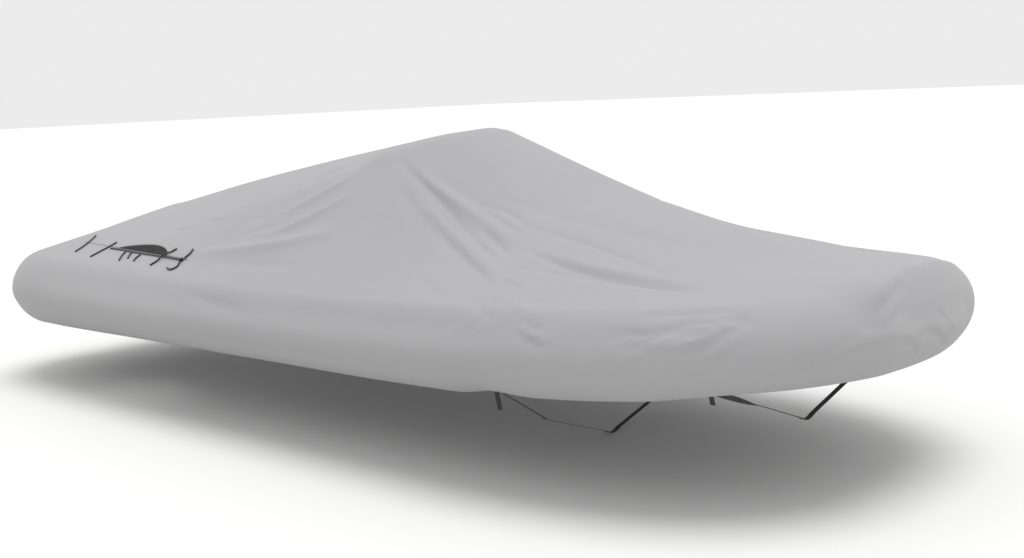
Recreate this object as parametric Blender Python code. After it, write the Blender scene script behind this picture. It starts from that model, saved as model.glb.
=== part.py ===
"""Fitted storage cover for a rigid inflatable boat of about six metres.

The boat is not part of the model. The cover keeps the shape that the boat gives it: a sheet
stretched from a windscreen under its peak to the round side tubes, wrapped under them and held
by two webbing straps that pass below the keel. Metres, +Z up, +X towards the bow, +Y to port.
The origin lies under the middle of the cover, level with the underside of the lowest strap.
"""

import math

import bmesh
import bpy
import numpy as np
from mathutils import Matrix, Vector
from mathutils.bvhtree import BVHTree

# Driving dimensions, in metres. Stations along the boat are measured from its transom.
MIDDLE = 2.847  # station of the model's origin
CLOTH = 0.003  # thickness of the cloth
HALF_BEAM = 0.990  # centre of a side tube from the centre line
STERN = -0.020  # station of the tube's centre line across the stern
STERN_CORNER = 0.43  # radius of that line at the stern corners
SHOULDER = 4.206  # station where the tubes start to curve in to the bow
BOW = 5.760  # station of the tube's centre line at the bow
BOW_FULLNESS = 2.735  # exponent of the bow's superellipse
TUBE_RADIUS = 0.225
BOW_RADIUS = 0.178
TUBE_HEIGHT = 0.596  # centre of the tube over the origin, before the sheer
SHEER_START = -1.13
SHEER_RISE = 0.113
SHEER_POWER = 3.75
STERN_CROWN = 0.145  # how far the stern's middle stands over its corners
STERN_CROWN_HALF = 0.72

# The cloth above the tubes, a row for each section that runs from the spine to the tube.
# run: distance round the tube's centre line from the middle of the stern.
# spine: where the section starts on the centre line. knee: the point it passes over on the way,
# which is the edge of the windscreen from run 3.8 on. soft: half length of the bend there.
# sag: how far the cloth hangs below a straight line from the knee to the tube.
SECTION_COLUMNS = ("run", "spine_x", "spine_z", "knee_x", "knee_y", "knee_z", "soft", "sag")
SECTIONS = (
    (0.00, 0.30, 1.045, 0.18, 0.000, 1.025, 0.05, 0.000),
    (0.45, 0.33, 1.049, 0.22, 0.240, 0.983, 0.05, 0.000),
    (0.90, 0.38, 1.056, 0.30, 0.480, 0.942, 0.08, 0.000),
    (1.24, 0.48, 1.073, 0.44, 0.560, 0.930, 0.12, 0.003),
    (2.02, 1.20, 1.207, 1.20, 0.610, 0.978, 0.14, 0.008),
    (2.82, 2.00, 1.338, 2.02, 0.500, 1.180, 0.14, 0.012),
    (3.62, 2.80, 1.457, 2.83, 0.400, 1.385, 0.12, 0.016),
    (3.87, 3.00, 1.487, 3.00, 0.380, 1.440, 0.09, 0.020),
    (4.50, 3.12, 1.502, 3.11, 0.330, 1.462, 0.06, 0.040),
    (5.20, 3.24, 1.513, 3.30, 0.225, 1.499, 0.05, 0.080),
    (6.00, 3.34, 1.522, 3.41, 0.125, 1.521, 0.05, 0.120),
    (6.60, 3.39, 1.526, 3.45, 0.055, 1.529, 0.05, 0.140),
    (7.30, 3.41, 1.528, 3.461, 0.000, 1.531, 0.05, 0.150),
)
SAG_SKEW = 1.1  # over 1 puts the lowest point nearer the tube than the knee

# Where the hem lies under the tube, a row for each run: the angle round the tube from its top,
# and how deep the cloth hangs below the tube's centre, as a multiple of the tube's radius.
HEM_COLUMNS = ("run", "angle", "depth")
HEM = (
    (0.00, 165.0, 1.70),
    (0.60, 163.0, 1.25),
    (0.93, 155.0, 1.05),
    (1.25, 153.0, 1.05),
    (1.60, 163.0, 1.04),
    (2.60, 172.0, 1.00),
    (3.60, 178.0, 1.00),
    (4.60, 184.0, 1.03),
    (5.05, 186.0, 1.03),
    (5.24, 186.0, 0.95),
    (5.50, 190.0, 1.04),
    (5.95, 193.0, 1.05),
    (6.30, 191.0, 0.98),
    (6.70, 190.0, 1.02),
    (7.00, 188.0, 1.10),
    (7.30, 186.0, 1.12),
)

# Main folds of the cloth, a row for each: where it starts and ends (station, distance from the
# centre line, height), its half width, and its rise over the cloth, or depth where it is below 0.
# They are the same on both sides.
FOLD_COLUMNS = ("x0", "y0", "z0", "x1", "y1", "z1", "width", "rise")
FOLDS = (
    # fan from the windscreen's corner forward and down to the tube
    (3.15, 0.38, 1.41, 4.27, 0.72, 1.00, 0.050, -0.026),
    (3.50, 0.60, 1.19, 4.33, 0.87, 0.93, 0.045, 0.014),
    (3.80, 0.74, 1.05, 4.55, 0.99, 0.87, 0.040, -0.014),
    (3.22, 0.47, 1.33, 3.62, 0.65, 1.13, 0.035, -0.012),
    (3.05, 0.40, 1.42, 4.60, 0.98, 0.87, 0.090, 0.016),
    (3.87, 0.53, 1.16, 4.69, 0.61, 0.97, 0.040, -0.014),
    (4.25, 0.57, 1.07, 5.05, 0.59, 0.93, 0.035, 0.008),
    (4.34, 0.68, 1.01, 5.31, 0.74, 0.89, 0.045, -0.014),
    (3.93, 0.44, 1.20, 4.63, 0.27, 1.05, 0.045, 0.009),
    (4.24, 0.39, 1.14, 5.03, 0.11, 0.96, 0.050, 0.008),
    (4.36, 0.83, 0.94, 4.95, 0.81, 0.90, 0.035, 0.007),
    (3.79, 1.04, 0.86, 4.38, 1.19, 0.72, 0.050, -0.010),
    # fan from the windscreen's corner aft to the tube
    (3.00, 0.46, 1.37, 2.29, 0.60, 1.14, 0.050, 0.010),
    (2.96, 0.63, 1.20, 1.96, 0.78, 0.98, 0.050, -0.010),
    (2.96, 0.69, 1.15, 2.50, 0.85, 0.99, 0.040, 0.007),
    (1.99, 0.97, 0.88, 3.05, 0.82, 1.04, 0.045, -0.014),
    (2.10, 1.02, 0.86, 3.01, 1.00, 0.90, 0.045, 0.009),
    (1.30, 1.20, 0.67, 2.56, 1.19, 0.71, 0.050, -0.006),
    # bow: the cloth turns over the tube in short slack folds
    (5.10, 1.07, 0.77, 5.59, 0.80, 0.84, 0.045, -0.010),
    (5.26, 0.97, 0.84, 5.53, 0.80, 0.87, 0.035, 0.006),
    (5.77, 0.67, 0.66, 5.91, 0.35, 0.73, 0.040, -0.010),
    (5.90, 0.28, 0.78, 5.84, 0.08, 0.87, 0.040, -0.009),
    (5.86, 0.39, 0.83, 5.83, 0.18, 0.88, 0.040, 0.009),
)
FOLD_FADE = 0.12  # a fold starts and ends at the sine of this share of a half turn

# Slit over each tube for a leg of a roll bar, in plan: from its aft end to its forward end, with
# a stretch that the leg holds open on the inboard side.
SLIT_AFT = (0.46, 0.800)
SLIT_FORWARD = (1.99, 0.990)
SLIT_GAP = 0.006
SLIT_OPEN = (0.36, 0.82)  # the open stretch, as shares of the slit's length
SLIT_OPEN_WIDTH = 0.08
SLIT_CUT = (0.78, 1.00)  # heights between which the slit's cutter stands

# Ties of round cord that lie over each slit: name, then the points of the route in plan and how
# far the cord is lifted off the cloth there.
CORD = 0.010
CORD_STEP = 0.027
CORD_CLEAR = 0.0004  # between a cord or a knot and the cloth it lies on
TIES = {
    "tie_aft": ((0.655, 0.965, 0), (0.60, 0.885, 0), (0.53, 0.80, 0), (0.43, 0.70, 0)),
    "tie_middle": ((0.94, 1.015, 0), (0.915, 0.93, 0), (0.90, 0.86, 0), (0.88, 0.80, 0)),
    "tie_forward": (
        (1.695, 1.050, 0),
        (1.710, 1.010, 0.002),
        (1.722, 0.966, 0.0135),
        (1.732, 0.925, 0.002),
        (1.740, 0.895, 0),
    ),
    "slit_cord": (
        (0.955, 0.885, 0),
        (1.10, 0.897, 0),
        (1.30, 0.922, 0),
        (1.50, 0.945, 0),
        (1.72, 0.969, 0),
        (1.925, 0.990, 0),
    ),
    "short_tie_1": ((1.305, 1.025, 0), (1.235, 0.965, 0), (1.205, 0.925, 0)),
    "short_tie_2": ((1.355, 0.995, 0), (1.315, 0.962, 0), (1.290, 0.934, 0)),
    "short_tie_3": ((1.465, 1.020, 0), (1.440, 0.995, 0), (1.425, 0.953, 0)),
    "knot_tail_out": ((1.955, 1.018, 0), (1.975, 1.045, 0), (1.945, 1.070, 0), (1.895, 1.060, 0)),
    "knot_tail_in": ((1.952, 0.972, 0.001), (1.955, 0.945, 0.002), (1.925, 0.905, 0.001)),
}
KNOT = (1.947, 0.995)
KNOT_SIZE = (0.034, 0.030, 0.020)

# Straps of flat webbing under the boat, a row for each: the run of its hem tabs, where it passes
# over the hull's chine and under its keel, and how long its free tails are.
WEBBING = 0.025
WEBBING_THICK = 0.002
STRAP_COLUMNS = ("run", "chine_x", "chine_y", "chine_z", "keel_x", "keel_z", "tail")
STRAPS = {
    "strap_aft": (5.10, 4.22, 0.486, 0.170, 4.20, 0.001, 0.075),
    "strap_forward": (6.20, 5.34, 0.330, 0.352, 5.32, 0.230, 0.040),
}
BUCKLE = (0.034, 0.030, 0.005)  # across the strap, along it, thick
BUCKLE_SLOT = (0.027, 0.0075)
TAB_INSIDE = 0.035  # how far a hem tab reaches up inside the cloth
TAB_OUTSIDE = 0.018  # how far it reaches past the hem's edge
FIT_GAP = 0.0004  # between pieces that touch
BUCKLE_PITCH = 0.0125  # between the middles of its slots
BUCKLE_BAR = 0.005
TAB_RETURN = 0.012  # end of a hem tab, folded back past the buckle
TAIL_START = 0.010  # straight stretch of a strap's tail before it starts to hang
TAIL_LEAN = 0.35  # how much of the strap's own direction the hanging tail keeps
HEM_TAB_GAP = 0.0008  # between a hem tab and the cloth's inner face
BEND_SOFT = 0.05  # how far from the keel or a chine the strap starts to round it

# Plain folded tabs sewn on the hem by themselves, at these runs.
HEM_TABS = {"hem_tab_aft": 1.45, "hem_tab_bow": 6.78}
HEM_TAB_WIDTH = 0.045
PLAIN_TAB_THICK = 0.003

# Mesh density of the cloth
COLUMNS = 104  # round the whole cover
ROWS_TOP = 4  # spine to knee
ROWS_SLOPE = 9  # knee to tube
ROWS_WRAP = 9  # round the tube to the hem
TURN_WEIGHT = 0.35  # metres of run that one radian of turning is worth when columns are shared out
FOLD_ZONE = (3.2, 6.2)  # runs between which the folds need closer columns
FOLD_WEIGHT = 0.8

SIDES = {"starboard": -1.0, "port": 1.0}

MATERIALS = {
    "cloth": ((0.46, 0.455, 0.445), 0.9, 0.0),
    "webbing": ((0.012, 0.012, 0.013), 0.85, 0.0),
    "cord": ((0.010, 0.010, 0.011), 0.7, 0.0),
    "plastic": ((0.015, 0.015, 0.016), 0.45, 0.0),
}


def material(name):
    """A plain Principled material of the given name, made once."""
    found = bpy.data.materials.get(name)
    if found:
        return found
    colour, roughness, metallic = MATERIALS[name]
    made = bpy.data.materials.new(name)
    made.use_nodes = True
    shader = made.node_tree.nodes["Principled BSDF"]
    shader.inputs["Base Color"].default_value = (*colour, 1.0)
    shader.inputs["Roughness"].default_value = roughness
    shader.inputs["Metallic"].default_value = metallic
    return made


def smooth(at, knots, values):
    """Value at each place of a smooth curve through the knots that doesn't overshoot them."""
    at = np.asarray(at, float)
    knots = np.asarray(knots, float)
    values = np.asarray(values, float)
    step = np.diff(knots)
    slope = np.diff(values) / step
    product = slope[:-1] * slope[1:]
    total = slope[:-1] + slope[1:]
    inner = np.where(product > 0, 2 * product / np.where(product > 0, total, 1.0), 0.0)
    tangent = np.concatenate([slope[:1], inner, slope[-1:]])
    i = np.clip(np.searchsorted(knots, at, side="right") - 1, 0, len(step) - 1)
    t = np.clip((at - knots[i]) / step[i], 0.0, 1.0)
    start = (1 + 2 * t) * (1 - t) ** 2 * values[i] + t * (1 - t) ** 2 * step[i] * tangent[i]
    end = t**2 * (3 - 2 * t) * values[i + 1] + t**2 * (t - 1) * step[i] * tangent[i + 1]
    return start + end


def table(columns, rows):
    """A table's columns by name."""
    return dict(zip(columns, np.array(rows, float).T))


def tube_line():
    """Half of the tube's centre line in plan, stern's middle to bow, as run, x, y and turning."""
    straight = np.linspace(0, 1, 40)[:-1]
    arc = np.linspace(0, math.pi / 2, 24)[:-1]
    bow = np.linspace(0, math.pi / 2, 400)
    corner_y = HALF_BEAM - STERN_CORNER
    x = [STERN + 0 * straight]
    y = [corner_y * straight]
    x.append(STERN + STERN_CORNER * (1 - np.cos(arc)))
    y.append(corner_y + STERN_CORNER * np.sin(arc))
    x.append(STERN + STERN_CORNER + (SHOULDER - STERN - STERN_CORNER) * straight)
    y.append(HALF_BEAM + 0 * straight)
    x.append(SHOULDER + (BOW - SHOULDER) * np.sin(bow) ** (2 / BOW_FULLNESS))
    y.append(HALF_BEAM * np.abs(np.cos(bow)) ** (2 / BOW_FULLNESS))
    y[-1][-1] = 0.0
    x, y = np.concatenate(x), np.concatenate(y)
    run = np.concatenate([[0], np.cumsum(np.hypot(np.diff(x), np.diff(y)))])
    heading = np.unwrap(np.arctan2(np.gradient(y, run), np.gradient(x, run)))
    return run, x, y, heading


LINE = tube_line()


def tube_at(run):
    """The tube under the cloth at each run: centre (x, y, z), outward direction and radius."""
    line_run, line_x, line_y, heading = LINE
    x, y = np.interp(run, line_run, line_x), np.interp(run, line_run, line_y)
    turned = np.interp(run, line_run, heading)
    turned = np.where(run <= 0, math.pi / 2, np.where(run >= line_run[-1], -math.pi / 2, turned))
    out = np.stack([-np.sin(turned), np.cos(turned)], axis=-1)
    forward = np.clip((x - SHEER_START) / (BOW - SHEER_START), 0, 1)
    z = TUBE_HEIGHT + SHEER_RISE * forward**SHEER_POWER
    at_stern = np.clip(1 - (x - STERN) / STERN_CORNER, 0, 1)
    z = z + at_stern * STERN_CROWN * np.clip(1 - y / STERN_CROWN_HALF, 0, 1)
    to_bow = np.clip((x - SHOULDER) / (BOW - SHOULDER), 0, 1)
    radius = TUBE_RADIUS + (BOW_RADIUS - TUBE_RADIUS) * to_bow
    return np.stack([x, y, z], axis=-1), out, radius


def section(run, side, rows):
    """Points of one section of the cloth's outer face, from the spine over the tube to the hem."""
    sections, hem = table(SECTION_COLUMNS, SECTIONS), table(HEM_COLUMNS, HEM)
    value = {key: float(smooth(run, sections["run"], sections[key])) for key in SECTION_COLUMNS}
    centre, out, radius = tube_at(run)
    spine = np.array([value["spine_x"], 0.0, value["spine_z"]])
    knee = np.array([value["knee_x"], value["knee_y"], value["knee_z"]])
    inboard = float((centre[:2] - knee[:2]) @ out)
    above = knee[2] - centre[2]
    reach = math.hypot(inboard, above)
    touch = math.acos(radius / reach) - math.atan2(inboard, above)
    tube_top = centre + radius * np.array([*(out * math.sin(touch)), math.cos(touch)])
    hem_angle = math.radians(float(smooth(run, hem["run"], hem["angle"])))
    depth = float(smooth(run, hem["run"], hem["depth"]))

    top = np.linspace(0, 1, 60)[:, None]
    to_knee = spine + (knee - spine) * top
    to_tube = knee + (tube_top - knee) * top
    to_tube[:, 2] -= value["sag"] * np.sin(math.pi * top[:, 0] ** SAG_SKEW)
    angle = np.linspace(touch, hem_angle, 90)
    lower = np.where(angle > math.pi / 2, depth, 1.0)
    wrap = np.empty((len(angle), 3))
    wrap[:, :2] = centre[:2] + radius * np.sin(angle)[:, None] * out
    wrap[:, 2] = centre[2] + radius * lower * np.cos(angle)

    bend = value["soft"]
    near = np.concatenate([to_knee, to_tube[1:]])
    along = np.concatenate([[0], np.cumsum(np.linalg.norm(np.diff(near, axis=0), axis=1))])
    knee_at = along[len(to_knee) - 1]
    share = np.concatenate(
        [
            np.linspace(0, knee_at, rows[0] + 1)[:-1],
            knee_at + (along[-1] - knee_at) * np.linspace(0, 1, rows[1] + 1)[:-1],
        ]
    )
    before = np.clip(share - bend, 0, along[-1])
    after = np.clip(share + bend, 0, along[-1])
    taut = [np.interp(share, along, near[:, k]) for k in range(3)]
    ahead = [np.interp(after, along, near[:, k]) for k in range(3)]
    behind = [np.interp(before, along, near[:, k]) for k in range(3)]
    blend = np.clip(1 - np.abs(share - knee_at) / max(bend, 1e-6), 0, 1)
    height = (1 - blend) * taut[2] + blend * (ahead[2] + behind[2]) / 2
    upper = np.stack([taut[0], taut[1], height], axis=1)
    pick = np.linspace(0, len(angle) - 1, rows[2] + 1)
    lower_part = np.stack([np.interp(pick, range(len(angle)), wrap[:, k]) for k in range(3)], axis=1)
    points = np.concatenate([upper, lower_part])
    points[:, 1] *= side
    points[:, 0] -= MIDDLE
    return points


def column_runs(count):
    """Signed runs for the columns of the whole cover, closer together where the tube turns."""
    line_run, _, _, heading = LINE
    weight = np.abs(np.gradient(heading, line_run)) * TURN_WEIGHT + 1.0
    weight = weight + FOLD_WEIGHT * ((line_run > FOLD_ZONE[0]) & (line_run < FOLD_ZONE[1]))
    total = np.concatenate([[0], np.cumsum((weight[1:] + weight[:-1]) / 2 * np.diff(line_run))])
    half = np.interp(np.linspace(0, total[-1], count // 2 + 1), total, line_run)
    return np.concatenate([-half[:-1], half[::-1]])


def outward(points):
    """Unit normals of a grid of points, pointing out of the cover."""
    round_it = np.gradient(points, axis=0)
    down = np.gradient(points, axis=1)
    normal = np.cross(down, round_it)
    normal /= np.maximum(np.linalg.norm(normal, axis=2, keepdims=True), 1e-9)
    away = points - np.array([0.0, 0.0, TUBE_HEIGHT])
    away[..., 0] = 0.0
    facing = np.sign((normal * away).sum(axis=2).sum(axis=0))
    return normal * facing[None, :, None]


def folded(points):
    """The grid of points with every fold pushed out or in along the cloth's normal."""
    push = np.zeros(points.shape[:2])
    mirrored = points + np.array([MIDDLE, 0.0, 0.0])
    mirrored[..., 1] = np.abs(mirrored[..., 1])
    for row in FOLDS:
        fold = dict(zip(FOLD_COLUMNS, row))
        start = np.array([fold["x0"], fold["y0"], fold["z0"]])
        reach = np.array([fold["x1"], fold["y1"], fold["z1"]]) - start
        along = np.clip((mirrored - start) @ reach / (reach @ reach), 0, 1)
        off = np.linalg.norm(mirrored - start - along[..., None] * reach, axis=2)
        swell = np.sin(math.pi * (FOLD_FADE + (1 - 2 * FOLD_FADE) * along))
        push += fold["rise"] * np.exp(-((off / fold["width"]) ** 2)) * swell
    return points + outward(points) * push[..., None]


def cover_surface(count, rows):
    """Grid of points of the cloth's outer face: a column for each run, from spine to hem."""
    runs = column_runs(count)
    columns = [section(abs(run), -1.0 if run <= 0 else 1.0, rows) for run in runs]
    return runs, folded(np.stack(columns))


def cover_mesh(points):
    """The cloth's outer face as one sheet."""
    columns, rows = points.shape[0] - 1, points.shape[1] - 1
    sheet = bmesh.new()
    bmesh.ops.create_grid(sheet, x_segments=columns, y_segments=rows, size=1.0)
    for vertex in sheet.verts:
        column = round((vertex.co.x + 1) / 2 * columns)
        row = round((vertex.co.y + 1) / 2 * rows)
        vertex.co = points[column, row]
    bmesh.ops.remove_doubles(sheet, verts=sheet.verts, dist=0.0001)
    bmesh.ops.recalc_face_normals(sheet, faces=sheet.faces)
    highest = max(sheet.faces, key=lambda face: face.calc_center_median().z)
    if highest.normal.z < 0:
        bmesh.ops.reverse_faces(sheet, faces=sheet.faces)
    bmesh.ops.triangulate(sheet, faces=sheet.faces)
    mesh = bpy.data.meshes.new("cover_shell")
    sheet.to_mesh(mesh)
    sheet.free()
    return mesh


def add_object(name, data, material_name):
    """A new object of the given data in the scene, with its material."""
    made = bpy.data.objects.new(name, data)
    data.materials.append(material(material_name))
    bpy.context.scene.collection.objects.link(made)
    return made


def slit_outline(side):
    """Outline of one slit in plan: a straight outboard edge, and an inboard one that bulges."""
    start = np.array(SLIT_AFT)
    reach = np.array(SLIT_FORWARD) - start
    outboard = np.array([-reach[1], reach[0]]) / np.linalg.norm(reach)
    share = np.concatenate([[0], np.linspace(*SLIT_OPEN, 13), [1]])
    opened = np.clip((share - SLIT_OPEN[0]) / (SLIT_OPEN[1] - SLIT_OPEN[0]), 0, 1)
    bulge = SLIT_GAP + SLIT_OPEN_WIDTH * np.sin(math.pi * opened) ** 0.7
    inner = start + share[:, None] * reach - bulge[:, None] * outboard
    outer = np.array([start + reach, start])
    outline = np.concatenate([inner, outer])
    outline[:, 0] -= MIDDLE
    outline[:, 1] *= side
    return outline


def slit_cutter(name, side):
    """Upright prism over a slit's outline."""
    shape = bmesh.new()
    low, high = SLIT_CUT
    corners = [shape.verts.new((x, y, low)) for x, y in slit_outline(side)]
    face = shape.faces.new(corners)
    lifted = bmesh.ops.extrude_face_region(shape, geom=[face])["geom"]
    moved = [item for item in lifted if isinstance(item, bmesh.types.BMVert)]
    bmesh.ops.translate(shape, verts=moved, vec=(0, 0, high - low))
    bmesh.ops.recalc_face_normals(shape, faces=shape.faces)
    mesh = bpy.data.meshes.new(name)
    shape.to_mesh(mesh)
    shape.free()
    cutter = bpy.data.objects.new(name, mesh)
    cutter.hide_render = True
    cutter.display_type = "WIRE"
    bpy.context.scene.collection.objects.link(cutter)
    return cutter


def cover(points):
    """The cloth with its thickness and its two slits."""
    made = add_object("cover_shell", cover_mesh(points), "cloth")
    made.data.shade_smooth()
    thick = made.modifiers.new("thickness", "SOLIDIFY")
    thick.thickness = CLOTH
    thick.offset = -1.0
    for name, side in SIDES.items():
        cut = made.modifiers.new("slit_" + name, "BOOLEAN")
        cut.operation = "DIFFERENCE"
        cut.object = slit_cutter("slit_cutter_" + name, side)
    return made


def cloth_height(tree, x, y):
    """Height of the cloth's outer face at a place in plan."""
    return tree.ray_cast(Vector((x, y, 3.0)), Vector((0, 0, -1)))[0].z


def on_cloth(tree, x, y):
    """The point of the cloth at a place in plan, and its normal there."""
    slope_x = cloth_height(tree, x + CORD, y) - cloth_height(tree, x - CORD, y)
    slope_y = cloth_height(tree, x, y + CORD) - cloth_height(tree, x, y - CORD)
    normal = Vector((-slope_x, -slope_y, 2 * CORD)).normalized()
    return Vector((x, y, cloth_height(tree, x, y))), normal


def nearest(tree, points, parts=6):
    """Least distance between the cloth and a line through the points."""
    pairs = list(zip(points, points[1:]))
    places = [start.lerp(end, k / parts) for start, end in pairs for k in range(parts + 1)]
    return min(tree.find_nearest(place)[3] for place in places)


def through(route, step):
    """Points of a smooth curve through the rows of a route, about a step apart."""
    route = np.array(route, float)
    gone = np.concatenate([[0], np.cumsum(np.linalg.norm(np.diff(route, axis=0), axis=1))])
    places = np.linspace(0, gone[-1], max(3, round(gone[-1] / step) + 1))
    return np.stack([smooth(places, gone, column) for column in route.T], axis=1)


def tie(name, route, side, tree):
    """A round cord along a route given in plan, lowered until it all but touches the cloth."""
    points, normals = [], []
    for x, y, lift in through(route, CORD_STEP):
        place, normal = on_cloth(tree, x - MIDDLE, side * y)
        points.append(place + normal * (CORD + float(lift)))
        normals.append(normal)
    spare = nearest(tree, points) - CORD / 2 - CORD_CLEAR
    points = [point - normal * spare for point, normal in zip(points, normals)]
    line = bpy.data.curves.new(name, "CURVE")
    line.dimensions = "3D"
    line.bevel_depth = CORD / 2
    line.bevel_resolution = 2
    line.use_fill_caps = True
    spline = line.splines.new("POLY")
    spline.points.add(len(points) - 1)
    for point, place in zip(spline.points, points):
        point.co = (*place, 1.0)
    return add_object(name, line, "cord")


def knot(name, side, tree):
    """The lumpy knot at the forward end of a slit."""
    shape = bmesh.new()
    bmesh.ops.create_icosphere(shape, subdivisions=2, radius=0.5)
    for vertex in shape.verts:
        turn = math.atan2(vertex.co.y, vertex.co.x)
        lump = 1 + 0.10 * math.cos(3 * turn + 2.5 * vertex.co.z)
        vertex.co = [lump * size * part for size, part in zip(KNOT_SIZE, vertex.co)]
    place, normal = on_cloth(tree, KNOT[0] - MIDDLE, side * KNOT[1])
    bmesh.ops.translate(shape, verts=shape.verts, vec=place + normal * KNOT_SIZE[2])
    spare = min(tree.find_nearest(vertex.co)[3] for vertex in shape.verts) - CORD_CLEAR
    bmesh.ops.translate(shape, verts=shape.verts, vec=-normal * spare)
    mesh = bpy.data.meshes.new(name)
    shape.to_mesh(mesh)
    shape.free()
    mesh.shade_smooth()
    return add_object(name, mesh, "cord")


def square_to(tangent, across):
    """The directions across, made square to the tangents and one long."""
    across = across - (across * tangent).sum(axis=-1, keepdims=True) * tangent
    return across / np.linalg.norm(across, axis=-1, keepdims=True)


def ribbon(name, centre, across, width, thick):
    """A strip of webbing along a line of points, its width along across: one way or one a point."""
    centre = np.array(centre, float)
    tangent = np.gradient(centre, axis=0)
    tangent /= np.linalg.norm(tangent, axis=1, keepdims=True)
    wide = square_to(tangent, np.broadcast_to(np.array(across, float), centre.shape))
    face = np.cross(tangent, wide)
    corners = ((-1, -1), (1, -1), (1, 1), (-1, 1))
    shape = bmesh.new()
    rings = []
    for place, side, up in zip(centre, wide, face):
        ring = [place + side * width / 2 * a + up * thick / 2 * b for a, b in corners]
        rings.append([shape.verts.new(corner) for corner in ring])
    shape.faces.new(rings[0])
    shape.faces.new(rings[-1])
    for ring, after in zip(rings, rings[1:]):
        for k in range(4):
            shape.faces.new((ring[k], ring[(k + 1) % 4], after[(k + 1) % 4], after[k]))
    bmesh.ops.recalc_face_normals(shape, faces=shape.faces)
    mesh = bpy.data.meshes.new(name)
    shape.to_mesh(mesh)
    shape.free()
    return add_object(name, mesh, "webbing")


def half_turn(bar, start, toward, radius, steps=8):
    """Points of a half circle round a bar's middle, from the direction start by way of toward."""
    angles = np.linspace(0, math.pi, steps + 1)
    return [bar + radius * (math.cos(a) * start + math.sin(a) * toward) for a in angles]


def hem_place(surface, run, side):
    """Middle of the hem's edge between two columns, with the ways out, along and inward there."""
    runs, points = surface
    column = int(np.argmin(np.abs(runs - side * run)))
    pair = [column, column - int(side)]
    edge, above = points[pair, -1], points[pair, -2]
    out = edge.mean(axis=0) - above.mean(axis=0)
    out /= np.linalg.norm(out)
    along = edge[1] - edge[0]
    along /= np.linalg.norm(along)
    along = along * np.sign(along[0])
    inward = np.cross(out, along)
    inward /= np.linalg.norm(inward)
    return edge.mean(axis=0), out, along, inward * np.sign(inward[2])


def buckle(name, middle, across, down, up):
    """A plastic slide: a plate with two slots that leave three bars across the strap."""
    width, length, thick = BUCKLE
    plate = box_mesh(name, (width, length, thick), (0, 0, 0))
    made = add_object(name, plate, "plastic")
    turn = Matrix((across, down, up)).transposed().to_4x4()
    made.matrix_world = Matrix.Translation(middle) @ turn
    for number, share in enumerate((-0.5, 0.5)):
        slot_name = f"{name}_slot_{number}"
        size = (BUCKLE_SLOT[0], BUCKLE_SLOT[1], 2 * thick)
        cutter = bpy.data.objects.new(slot_name, box_mesh(slot_name, size, (0, share * BUCKLE_PITCH, 0)))
        cutter.matrix_world = made.matrix_world
        cutter.hide_render = True
        cutter.display_type = "WIRE"
        bpy.context.scene.collection.objects.link(cutter)
        slot = made.modifiers.new(f"slot_{number}", "BOOLEAN")
        slot.operation = "DIFFERENCE"
        slot.object = cutter
    return made


def box_mesh(name, size, middle):
    """A box of the given size."""
    shape = bmesh.new()
    bmesh.ops.create_cube(shape, size=1.0)
    bmesh.ops.scale(shape, verts=shape.verts, vec=size)
    bmesh.ops.translate(shape, verts=shape.verts, vec=middle)
    mesh = bpy.data.meshes.new(name)
    shape.to_mesh(mesh)
    shape.free()
    return mesh


def buckle_end(name, surface, run, chine, side):
    """Hem tab and buckle of one strap end. Gives the strap's own turn round the lowest bar."""
    edge, out, along, inward = hem_place(surface, run, side)
    turn = BUCKLE[2] * math.sqrt(0.5) + FIT_GAP + WEBBING_THICK / 2
    outer_bar = BUCKLE_PITCH / 2 + BUCKLE_SLOT[1] / 2 + BUCKLE_BAR / 2
    start = edge + inward * (CLOTH + HEM_TAB_GAP + WEBBING_THICK / 2)
    knuckle = start + out * TAB_OUTSIDE
    down = chine - knuckle
    down /= np.linalg.norm(down)
    across = square_to(down, np.array([1.0, 0.0, 0.0]))
    up = np.cross(across, down)
    up *= np.sign(up[2])
    across = np.cross(down, up)
    top_bar = knuckle + down * turn - up * turn
    middle = top_bar + down * outer_bar
    low_bar = middle + down * outer_bar
    loop = half_turn(top_bar, up, down, turn)
    route = [start - out * TAB_INSIDE, start, knuckle - out * TAB_OUTSIDE / 3, *loop]
    route.append(loop[-1] - down * TAB_RETURN)
    wide = across * np.sign(across[0])
    ways = [along, along, along + wide, *[wide] * (len(loop) + 1)]
    ribbon(f"{name}_hem_tab", route, ways, WEBBING, WEBBING_THICK)
    buckle(f"{name}_buckle", middle, across, down, up)
    return half_turn(low_bar, up, -down, turn), down, wide


def rounded(before, bend, after, soft, steps=4):
    """Points of a curve through a line's bend, that starts and ends a soft distance from it."""
    first = bend + (before - bend) * soft / np.linalg.norm(before - bend)
    last = bend + (after - bend) * soft / np.linalg.norm(after - bend)
    pull = 2 * bend - (first + last) / 2
    shares = np.linspace(0, 1, steps + 1)
    return [(1 - s) ** 2 * first + 2 * s * (1 - s) * pull + s**2 * last for s in shares]


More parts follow.
